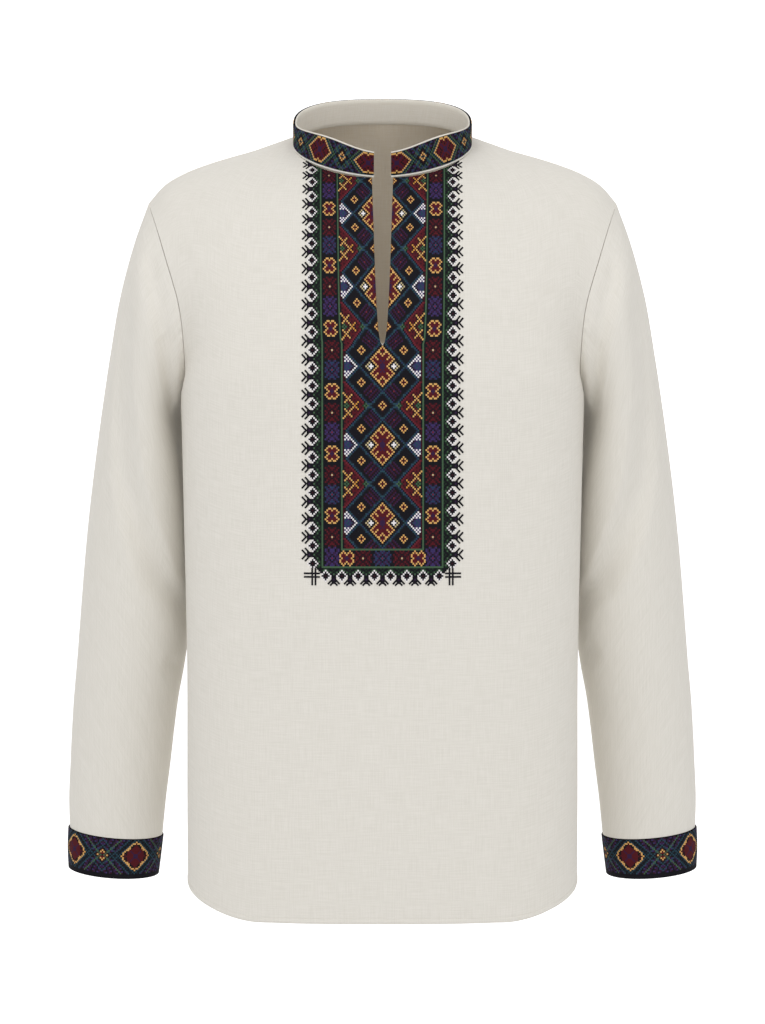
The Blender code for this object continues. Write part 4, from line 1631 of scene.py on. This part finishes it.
@dataclass
class FrontEmbroidery:
    """The embroidered panel down the middle of the front."""

    form: ShirtForm
    front: Panel
    chart: PanelChart
    stitch_width: float = 1.55
    stitch_height: float = 1.70
    lowest_z: float = -421.6
    neck_margin: float = 0.1
    extra_rows: int = 60
    most_rows: int = 400
    chest_row: int = 130
    chest_stretch: float = 0.05
    levels: Optional[np.ndarray] = None

    def column_line(self, x: float) -> tuple:
        """The front's cloth along an upright line.

        Args:
            x: how far the line is from the middle.

        Returns:
            Its points and outward directions at each line between rows, the slit's half gap there, and how
            many rows lie below the neckline.
        """
        grid = self.front.grid
        rows = len(grid)
        numbers = np.arange(rows, dtype=float)
        column = np.array([np.interp(x, grid[row, :, 0], np.arange(grid.shape[1])) for row in range(rows)])
        low = np.clip(column.astype(int), 0, grid.shape[1] - 2)
        share = (column - low)[:, None]
        index = numbers.astype(int)
        points = grid[index, low] * (1 - share) + grid[index, low + 1] * share
        ways = self.front.normals[index, low] * (1 - share) + self.front.normals[index, low + 1] * share
        length = run_lengths(points)
        top = length[-1] - self.neck_margin
        if self.levels is None:
            start = np.interp(self.lowest_z, points[:, 2], length)
            chest = np.clip((np.arange(self.most_rows) - self.chest_row) / 20, 0.0, 1.0)
            heights = self.stitch_height * (1 + self.chest_stretch * chest)
            places = start + np.cumsum(heights) - self.stitch_height
            self.levels = np.interp(places[places <= top], length, points[:, 2])
        places = np.interp(self.levels, points[:, 2], length)
        added = np.arange(1, self.extra_rows + 1) * self.stitch_height * (1 + self.chest_stretch)
        places = np.concatenate([places, places[-1] + added])
        count = int(np.searchsorted(places, top))
        where = np.interp(np.minimum(places, top), length, numbers)
        line = np.stack([np.interp(where, numbers, points[:, axis]) for axis in range(3)], axis=1)
        ways = np.stack([np.interp(where, numbers, ways[:, axis]) for axis in range(3)], axis=1)
        gap = self.form.slit_gap(where / self.front.times)
        return line, ways, gap, count

    def build(self, finish: FlossFinish, library: dict) -> list:
        """Makes the panel's stitches, as the field and the two sides."""
        last = self.chart.last_column
        lines = {}
        counts = {}
        middle, middle_ways, gap, _ = self.column_line(0.0)
        for corner in range(-last, last + 2):
            x = (corner - 0.5) * self.stitch_width
            half = 1.0 if x > 0 else -1.0
            points, ways, own_gap, counts[corner] = self.column_line(x)
            points[:, 0] = self.form.moved_aside(points[:, 0], own_gap, half)
            lines[corner] = (points, ways)

        def thread(column: int, row: int) -> Optional[Thread]:
            """The chart's thread, where there is cloth."""
            if not -last <= column <= last or row >= min(counts[column], counts[column + 1]):
                return None
            return self.chart.thread(column, row)

        pieces = []
        field_end = self.chart.inner_line
        field_span = ("field", -field_end, field_end)
        side_spans = (("left", field_end + 1, last), ("right", -last, -field_end - 1))
        for name, first, final in (field_span, *side_spans):
            sheet = StitchSheet(f"front_stitches_{name}")
            for corner in range(first, final + 2):
                sheet.add_column(corner, *lines[corner], corner - 0.5)
            for column in range(first, final + 1):
                for row in range(min(counts[column], counts[column + 1])):
                    here = thread(column, row)
                    if here is None:
                        continue
                    beside = ((column, row - 1), (column + 1, row), (column, row + 1), (column - 1, row))
                    sides = tuple(not first <= c <= final or thread(c, r) is None for c, r in beside)
                    if column == 0 and gap[row + 1] > 0:
                        self.add_split(sheet, row, here, sides, middle, middle_ways, gap)
                    else:
                        sheet.add_square(column, column + 1, row, here, sides)
            for bar in self.chart.strokes(lambda column: min(counts[int(column)], counts[int(column) + 1])):
                for half in (1, -1):
                    start, end = ((half * column, row) for column, row in bar)
                    if first <= min(start[0], end[0]) and max(start[0], end[0]) < final + 1:
                        sheet.add_stroke(start, end, self.chart.branch_width, Thread.NIGHT)
            pieces.append(sheet.build(finish, library))
        return pieces

    def add_split(
        self,
        sheet: StitchSheet,
        row: int,
        thread: Thread,
        sides: tuple,
        middle: np.ndarray,
        ways: np.ndarray,
        gap: np.ndarray,
    ) -> None:
        """Adds the two halves of a stitch of the middle column, on both sides of the slit.

        Args:
            sheet: the stitches that it joins.
            row: its row.
            thread: its thread.
            sides: which of its sides are open.
            middle: the cloth along the middle.
            ways: its outward directions.
            gap: the slit's half gap at each line.
        """
        for key, half in (("slit left", 1.0), ("slit right", -1.0)):
            if key not in sheet.columns:
                line = middle.copy()
                line[:, 0] = half * gap
                sheet.add_column(key, line, ways, 0.0)
        sheet.add_square("slit left", 1, row, thread, (sides[0], False, sides[2], True))
        sheet.add_square(0, "slit right", row, thread, (sides[0], True, sides[2], False))


@dataclass
class Collar:
    """The stand collar: an embroidered outer band, its plain facing and the piping at its foot."""

    form: ShirtForm
    outer_cut: tuple = (462.0, 27.2)
    outer_area: float = 0.0109
    facing_cut: tuple = (453.0, 32.5)
    facing_area: float = 0.0127
    half_gap: float = 8.3
    piping_radius: float = 1.0
    seam_gap: float = 0.3
    top: float = 25.2
    facing_top: float = 25.8
    outset: float = 0.6
    cloth: float = 1.2
    columns: int = 148
    rows: int = 14
    facing_outset: float = -1.15
    facing_foot: float = -1.2
    facing_cloth: float = 0.9
    # Folded edges: how far from the foot and the top the full wall starts, its rows, how much an edge narrows
    foot_fold: float = 0.3
    top_fold: float = 0.2
    wall_rows: int = 7
    edge_turn: float = 0.25
    stitch_margin: float = 0.1
    piping_sides: int = 10
    # Quarter of the large rosette, from its middle outward and up; a dot is the ground
    rosette: tuple = (
        "ppr.rrr.rg",
        "pprr.rrrg.",
        "rrprr.rg..",
        ".rrprrgg..",
        "rr.rrgg...",
        "grrrg.....",
        ".ggg......",
    )

    def foot(self) -> float:
        """Where the collar starts above the neckline."""
        return 2 * (self.seam_gap + self.piping_radius)

    def band(self, name: str, outset: float, rises: tuple, thickness: float, cloths: tuple) -> Object:
        """A standing band round the neck, open at the front.

        Args:
            name: its node.
            outset: its distance out from the neckline.
            rises: the heights of its foot and its top.
            thickness: the thickness of its wall.
            cloths: the materials of its outer side, inner side and edges.

        Returns:
            The new object.
        """
        count = self.columns + 1
        foot, top = rises
        full = np.linspace(foot + self.foot_fold, top - self.top_fold, self.wall_rows)
        heights = np.concatenate([[foot], full, [top]])
        turned = np.zeros(len(heights))
        turned[[0, -1]] = self.edge_turn
        spots = list(zip(turned, heights))
        outer = [self.form.neck_ring(self.half_gap, count, outset - turn, rise) for turn, rise in spots]
        grid = np.array(outer)
        within = outset - thickness
        inner = [self.form.neck_ring(self.half_gap, count, within + turn, rise) for turn, rise in spots]
        inward = (np.array(inner) - grid).reshape(-1, 3)
        numbers = np.arange(grid.shape[0] * grid.shape[1]).reshape(grid.shape[:2])
        wall = Wall(grid.reshape(-1, 3), inward, grid_faces(numbers), flat_places(grid).reshape(-1, 2))
        piece = wall.build(f"{name}_cloth", *cloths)
        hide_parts(name)
        return piece

    def stitches(self, finish: FlossFinish, library: dict) -> Object:
        """The embroidery on the outer band."""
        chart = BandChart(
            rows=self.rows, first=3, repeat=36, large_line=10, small_line=6, square=2, rosette=self.rosette
        )
        last = 2 * self.columns

        def thread(column: int, row: int) -> Optional[Thread]:
            """The chart's thread within the band, counted from the nearer front edge."""
            if not 0 <= column < last:
                return None
            return chart.thread(min(column, last - 1 - column), row)

        sheet = StitchSheet("collar_stitches")
        first, final = self.foot() + self.stitch_margin, self.top - self.stitch_margin
        rises = np.linspace(first, final, self.rows + 1)
        count = self.columns + 1
        rings = np.array([self.form.neck_ring(self.half_gap, count, self.outset, rise) for rise in rises])
        outward = -normals_of(rings)
        outward *= np.sign((outward * (rings - rings.mean(axis=(0, 1)))).sum())
        for line in range(last + 1):
            sheet.add_column(line, rings[:, line], outward[:, line], float(line))
        for column in range(last):
            for row in range(self.rows):
                beside = ((column, row - 1), (column + 1, row), (column, row + 1), (column - 1, row))
                sides = tuple(thread(c, r) is None for c, r in beside)
                sheet.add_square(column, column + 1, row, thread(column, row), sides)
        return sheet.build(finish, library)

    def piping(self, material: Material) -> Object:
        """The cord in the seam between body and collar."""
        rise = self.seam_gap + self.piping_radius
        path = self.form.neck_ring(self.half_gap, self.columns + 1, 0.0, rise)
        wide = self.form.neck_ring(self.half_gap, self.columns + 1, 1.0, rise) - path
        turns = np.linspace(0.0, 2 * math.pi, self.piping_sides, endpoint=False)
        axis = self.form.neck_axis()
        sides = [math.cos(turn) * wide + math.sin(turn) * axis for turn in turns]
        grid = np.array([path + self.piping_radius * side for side in sides]).transpose(1, 0, 2)
        numbers = np.arange(grid.shape[0] * grid.shape[1]).reshape(grid.shape[:2])
        faces = grid_faces(numbers, closed=True)
        faces.append(tuple(numbers[0].tolist())[::-1])
        faces.append(tuple(numbers[-1].tolist()))
        along = run_lengths(path)[:, None] + np.zeros((1, self.piping_sides))
        around = np.zeros((len(path), 1)) + turns[None, :] * self.piping_radius
        flat = np.stack([along, around], axis=2).reshape(-1, 2)
        piece = add_mesh("neck_piping_cord", grid.reshape(-1, 3), faces, flat * METRES, [material])
        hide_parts("neck_piping")
        return piece

    def build(self, cloths: dict, finish: FlossFinish, library: dict) -> None:
        """Makes the whole collar and turns its cuts into metres, which nothing uses."""
        outer = self.band("collar", self.outset, (self.foot(), self.top), self.cloth, (cloths["ground"],) * 3)
        rises = (self.facing_foot, self.facing_top)
        # The facing's linen is painted lighter, painted light for the shade inside the collar
        linen = (cloths["facing"],) * 3
        inner = self.band("collar_facing", self.facing_outset, rises, self.facing_cloth, linen)
        stitches = self.stitches(finish, library)
        cut = in_metres(self.outer_cut)
        in_metres(self.facing_cut)
        self.piping(cloths["piping"])
        LOG.info("collar: band, facing, piping and stitches")


@dataclass
class Cuff:
    """A closed cuff band, embroidered all round."""

    flat_length: float = 268.0
    flat_height: float = 41.0
    rings: tuple = (
        SleeveRing(312.0, -680.4, 218.2, -688.4, 58.5, 38.1, 3.5),
        SleeveRing(312.8, -701.0, 220.6, -708.0, 60.0, 37.9, 3.5),
        SleeveRing(312.2, -721.5, 223.2, -728.0, 61.5, 37.4, 3.5),
    )
    columns: int = 168
    rows: int = 25
    cloth: float = 2.0
    # Folded edges: the share of the height that each takes, the full wall's rows, how far an edge turns in
    edge_share: float = 0.015
    wall_rows: int = 7
    edge_turn: float = 0.35
    top_margin: float = 0.5
    stitch_foot: float = 0.995
    rosette_turn: float = 0.333
    seam_turn: float = 0.475
    # Quarter of the large rosette, from its middle outward and up; a dot is the ground
    rosette: tuple = (
        "pprrrrr.rg",
        "pprrrr.rg.",
        "rrprrr..g.",
        "rrrprr.g..",
        "rrrrrgg...",
        "rrr.gg....",
        "rr..g.....",
        "r..g......",
        "rgg.......",
        "g.........",
    )

    def surface(self, shares: np.ndarray) -> np.ndarray:
        """Rings of the cuff at these shares of its height from the top, with evenly spaced points."""
        fine = np.array([ring_points(ring, self.columns * 2) for ring in self.rings])
        even = []
        for ring in fine:
            loop = np.vstack([ring, ring[:1]])
            even.append(even_spacing(loop, np.arange(self.columns) / self.columns))
        flat = np.array(even).reshape(len(even), -1)
        knots = np.linspace(0.0, 1.0, len(even))
        slopes = np.gradient(flat, knots, axis=0)
        return hermite_rows(knots, flat, slopes, shares).reshape(len(shares), self.columns, 3)

    def build(self, name: str, half: float, cloths: dict, finish: FlossFinish, library: dict) -> None:
        """Makes one cuff and its stitches.

        Args:
            name: the cuff's node.
            half: 1 for the wearer's left, -1 for the right.
            cloths: the cloth materials by name.
            finish: how the floss looks.
            library: the thread materials.
        """
        sign = np.array([half, 1.0, 1.0])
        full = np.linspace(self.edge_share, 1 - self.edge_share, self.wall_rows)
        grid = self.surface(np.concatenate([[0.0], full, [1.0]]))
        outward = normals_of(grid, closed=True)
        grid[0] -= self.edge_turn * outward[0]
        grid[-1] -= self.edge_turn * outward[-1]
        around = np.concatenate([grid, grid[:, :1]], axis=1)
        flat = flat_places(around)[:, : self.columns].reshape(-1, 2)
        numbers = np.arange(grid.shape[0] * self.columns).reshape(grid.shape[:2])
        points = grid.reshape(-1, 3) * sign
        inward = -self.cloth * outward.reshape(-1, 3) * sign
        wall = Wall(points, inward, grid_faces(numbers, closed=True), flat)
        # The cuff's inner side takes the facing linen, painted lighter as painted light for the shade inside
        # it
        piece = wall.build(f"{name}_cloth", cloths["ground"], cloths["facing"], cloths["ground"])
        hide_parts(name)
        stitches = self.stitches(f"{name}_stitches", sign, finish, library)
        size = in_metres((self.flat_length, self.flat_height))
        LOG.info("%s: %d faces of stitches", name, len(stitches.data.polygons))

    def stitches(self, name: str, sign: np.ndarray, finish: FlossFinish, library: dict) -> Object:
        """The cuff's embroidery, with a dark seam on its inner side."""
        first = round(self.rosette_turn * self.columns)
        chart = BandChart(
            rows=self.rows,
            first=first,
            repeat=42,
            large_line=11,
            small_line=6,
            square=3,
            rosette=self.rosette,
            edge_rows=3,
        )
        seam = round(self.seam_turn * self.columns)

        def thread(column: int, row: int) -> Optional[Thread]:
            """The chart's thread round the closed band."""
            column %= self.columns
            if abs(column - seam) <= 1 and 0 <= row < self.rows:
                return Thread.NIGHT
            return chart.thread(column, row)

        sheet = StitchSheet(name)
        start = self.top_margin / self.flat_height
        shares = np.linspace(self.stitch_foot, start, self.rows + 1)
        grid = self.surface(shares)
        outward = normals_of(grid, closed=True)
        centre = grid.mean(axis=1, keepdims=True)
        outward *= np.sign((outward * (grid - centre)).sum())
        for line in range(self.columns):
            sheet.add_column(line, grid[:, line] * sign, outward[:, line] * sign, float(line))
        for column in range(self.columns):
            left, right = column, (column + 1) % self.columns
            for row in range(self.rows):
                sides = (row == 0, False, row == self.rows - 1, False)
                pair = (left, right) if sign[0] > 0 else (right, left)
                sheet.add_square(*pair, row, thread(column, row), sides)
        return sheet.build(finish, library)


class Lamp(NamedTuple):
    """A soft square light: its place and size in metres, and its power in watts."""

    name: str
    place: tuple
    size: float
    power: float


@dataclass(frozen=True)
class Studio:
    """Camera, soft lights, and a plain white floor that curves up into the backdrop."""

    camera_place: tuple = (0.0, -5.0, 0.090)
    camera_aim: tuple = (0.0, 0.0, -0.362)
    lens: float = 180.5
    sensor: float = 36.0
    floor_z: float = -0.95
    lit_from_y: float = 0.35
    sheet_size: float = 12.0
    wall_height: float = 8.0
    curve_radius: float = 2.0
    curve_segments: int = 16
    paper_colour: str = "#ffffff"
    paper_roughness: float = 0.9
    paper_glow: float = 0.55
    surroundings: float = 0.64
    clip_end: float = 50.0
    light_aim: tuple = (0.0, 0.0, -0.35)
    lamps: tuple = (
        Lamp("key", (-1.5, -2.8, 2.4), 1.8, 24.0),
        Lamp("fill", (1.9, -3.4, 0.9), 2.4, 16.0),
        Lamp("back", (0.0, 2.6, 1.9), 2.0, 6.0),
        Lamp("top", (0.0, -1.1, 2.0), 1.3, 9.0),
    )

    def aimed(self, thing: Object, aim: tuple) -> None:
        """Turns a camera or a light towards a point."""
        way = Vector(aim) - thing.location
        thing.rotation_euler = way.to_track_quat("-Z", "Y").to_euler()

    def add_camera(self) -> None:
        """The camera at the photograph's viewing angle."""
        data = bpy.data.cameras.new("camera")
        data.lens = self.lens
        data.sensor_width = self.sensor
        data.clip_end = self.clip_end
        camera = bpy.data.objects.new("camera", data)
        camera.location = self.camera_place
        self.aimed(camera, self.camera_aim)
        bpy.context.scene.collection.objects.link(camera)
        bpy.context.scene.camera = camera

    def add_light(self, lamp: Lamp) -> None:
        """Adds one lamp, turned towards the chest."""
        data = bpy.data.lights.new(lamp.name, "AREA")
        data.size = lamp.size
        data.energy = lamp.power
        light = bpy.data.objects.new(lamp.name, data)
        light.location = lamp.place
        self.aimed(light, self.light_aim)
        bpy.context.scene.collection.objects.link(light)

    def add_sheet(self, name: str, material: Material, side: float) -> Object:
        """A level sheet of the studio's paper.

        Args:
            name: the object's name.
            material: its paper.
            side: -1 for the sheet under the shirt and in front of it, 1 for the one behind it.

        Returns:
            The new object.
        """
        middle = self.lit_from_y + side * self.sheet_size / 2
        bpy.ops.object.select_all(action="DESELECT")
        bpy.ops.mesh.primitive_plane_add(size=self.sheet_size, location=(0.0, middle, self.floor_z))
        sheet = bpy.context.object
        sheet.name = name
        sheet.data.materials.append(material)
        return sheet

    def add_floor(self) -> None:
        """The floor under the shirt and in front of it, of the same paper, without a glow of its own."""
        material, _ = new_material("seamless paper floor", self.paper_colour, self.paper_roughness, 0.0)
        self.add_sheet("studio_floor", material, -1)

    def add_backdrop(self) -> None:
        """The floor behind the shirt and the wall, one curved white sheet."""
        sweep = self.add_sheet("studio_sweep", self.backdrop_material(), 1)
        bpy.ops.object.mode_set(mode="EDIT")
        bpy.ops.mesh.select_all(action="DESELECT")
        bpy.ops.object.mode_set(mode="OBJECT")
        for edge in sweep.data.edges:
            ends = [sweep.data.vertices[index].co.y for index in edge.vertices]
            edge.select = min(ends) > 0
        bpy.ops.object.mode_set(mode="EDIT")
        bpy.ops.mesh.extrude_region_move(TRANSFORM_OT_translate={"value": (0.0, 0.0, self.wall_height)})
        bpy.ops.object.mode_set(mode="OBJECT")
        bevel = sweep.modifiers.new("curve", "BEVEL")
        bevel.width = self.curve_radius
        bevel.segments = self.curve_segments

    def backdrop_material(self) -> Material:
        """Lit seamless paper: it gives back its own white, so that no shadow edge shows on it."""
        name = "seamless background paper"
        material, shader = new_material(name, self.paper_colour, self.paper_roughness, 0.0)
        shader.inputs["Emission Color"].default_value = linear_colour(self.paper_colour)
        shader.inputs["Emission Strength"].default_value = self.paper_glow
        return material

    def build(self) -> None:
        """Sets up camera, lights, surroundings and backdrop."""
        bpy.context.scene.view_settings.view_transform = "Standard"
        self.add_camera()
        for lamp in self.lamps:
            self.add_light(lamp)
        world = bpy.data.worlds.new("studio")
        world.use_nodes = True
        background = world.node_tree.nodes["Background"]
        background.inputs["Color"].default_value = (1.0, 1.0, 1.0, 1.0)
        background.inputs["Strength"].default_value = self.surroundings
        bpy.context.scene.world = world
        self.add_floor()
        self.add_backdrop()


# Folds as the photograph shows them on the wearer's right sleeve; the left one has its own, much alike
RIGHT_SLEEVE_FOLDS = (
    SleeveFold(0.16, 0.03, 0.30, 0.035, 13.0, 5.5),
    SleeveFold(0.30, 0.035, 0.41, 0.06, 14.0, 7.5),
    SleeveFold(0.41, 0.06, 0.45, 0.16, 15.0, 6.5),
    SleeveFold(0.135, 0.13, 0.17, 0.225, 16.0, 7.0),
    SleeveFold(0.17, 0.225, 0.205, 0.335, 17.0, 8.5),
    SleeveFold(0.205, 0.335, 0.25, 0.41, 17.0, 8.5),
    SleeveFold(0.25, 0.41, 0.33, 0.52, 17.0, 8.5),
    SleeveFold(0.33, 0.52, 0.43, 0.58, 16.0, 8.5),
    SleeveFold(0.39, 0.68, 0.47, 0.70, 11.0, 5.0),
    SleeveFold(0.86, 0.09, 0.62, 0.24, 20.0, 6.0),
    SleeveFold(0.84, 0.30, 0.78, 0.42, 18.0, 6.5),
    SleeveFold(0.78, 0.42, 0.58, 0.57, 18.0, 7.5),
)
LEFT_SLEEVE_FOLDS = (
    SleeveFold(0.17, 0.03, 0.31, 0.035, 13.0, 5.2),
    SleeveFold(0.31, 0.035, 0.41, 0.06, 14.0, 7.0),
    SleeveFold(0.41, 0.06, 0.45, 0.15, 15.0, 6.0),
    SleeveFold(0.13, 0.12, 0.16, 0.24, 16.0, 7.5),
    SleeveFold(0.16, 0.24, 0.20, 0.35, 18.0, 9.0),
    SleeveFold(0.20, 0.35, 0.26, 0.43, 18.0, 8.5),
    SleeveFold(0.26, 0.43, 0.34, 0.52, 17.0, 8.5),
    SleeveFold(0.34, 0.52, 0.43, 0.57, 16.0, 8.0),
    SleeveFold(0.39, 0.66, 0.47, 0.685, 11.0, 4.5),
    SleeveFold(0.85, 0.10, 0.62, 0.25, 20.0, 5.8),
    SleeveFold(0.83, 0.32, 0.77, 0.44, 18.0, 6.5),
    SleeveFold(0.77, 0.44, 0.58, 0.58, 18.0, 7.0),
)
FRONT_FOLDS = (
    BodyFold(-128.0, -250.0, -160.0, -420.0, 20.0, 0.8),
    BodyFold(132.0, -260.0, 158.0, -440.0, 22.0, 0.8),
    BodyFold(-105.0, -520.0, -120.0, -745.0, 26.0, 0.9),
    BodyFold(98.0, -560.0, 118.0, -745.0, 24.0, 0.8),
)
BACK_FOLDS = (
    BodyFold(-60.0, -120.0, -86.0, -430.0, 26.0, 2.2),
    BodyFold(66.0, -130.0, 82.0, -460.0, 26.0, 2.0),
    BodyFold(-10.0, -300.0, 6.0, -700.0, 30.0, 1.8),
    BodyFold(-128.0, -420.0, -112.0, -750.0, 24.0, 1.8),
    BodyFold(126.0, -400.0, 118.0, -750.0, 24.0, 1.8),
)


def main() -> None:
    """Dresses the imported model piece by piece."""
    logging.basicConfig(level=logging.INFO, format="%(name)s: %(message)s")
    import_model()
    form = ShirtForm()
    linen = LinenFinish("bleached linen", "#e8e4dc", "#e1ddd4").material()
    # Inner sides of body and sleeves: the same linen painted lighter and warmer, painted light standing in
    # for light in the shaded inside
    inside = LinenFinish("linen wrong side", "#f3eadb", "#eee3d0").material()
    # Collar facing and cuff insides: linen painted lighter than the outer linen, painted light for the shade
    # they sit in
    facing = LinenFinish("cream linen", "#f5f0e6", "#f0eade").material()
    ground, _ = new_material("dark embroidery ground", "#100d12", 0.85, 0.0, 0.1)
    cloths = {"linen": linen, "facing": facing, "piping": CordFinish().material(), "ground": ground}
    floss = FlossFinish()
    library: dict = {}

    front = Panel(form, Side.FRONT, (557.0, 826.0), 0.392, FRONT_FOLDS)
    front_piece = front.build(linen, inside)
    embroidery = FrontEmbroidery(form, front, PanelChart())
    front.declare(front_piece, embroidery.build(floss, library))
    back = Panel(form, Side.BACK, (490.0, 790.0), 0.356, BACK_FOLDS, times=6)
    back.declare(back.build(linen, inside), [])
    for name, half, folds in (("left", 1.0, LEFT_SLEEVE_FOLDS), ("right", -1.0, RIGHT_SLEEVE_FOLDS)):
        Sleeve(form, folds, (349.0, 629.0), 0.1815).build(f"sleeve_{name}", half, linen, inside)
        Cuff().build(f"cuff_{name}", half, cloths, floss, library)
    Collar(form).build(cloths, floss, library)

    Studio().build()


if __name__ == "__main__":
    main()
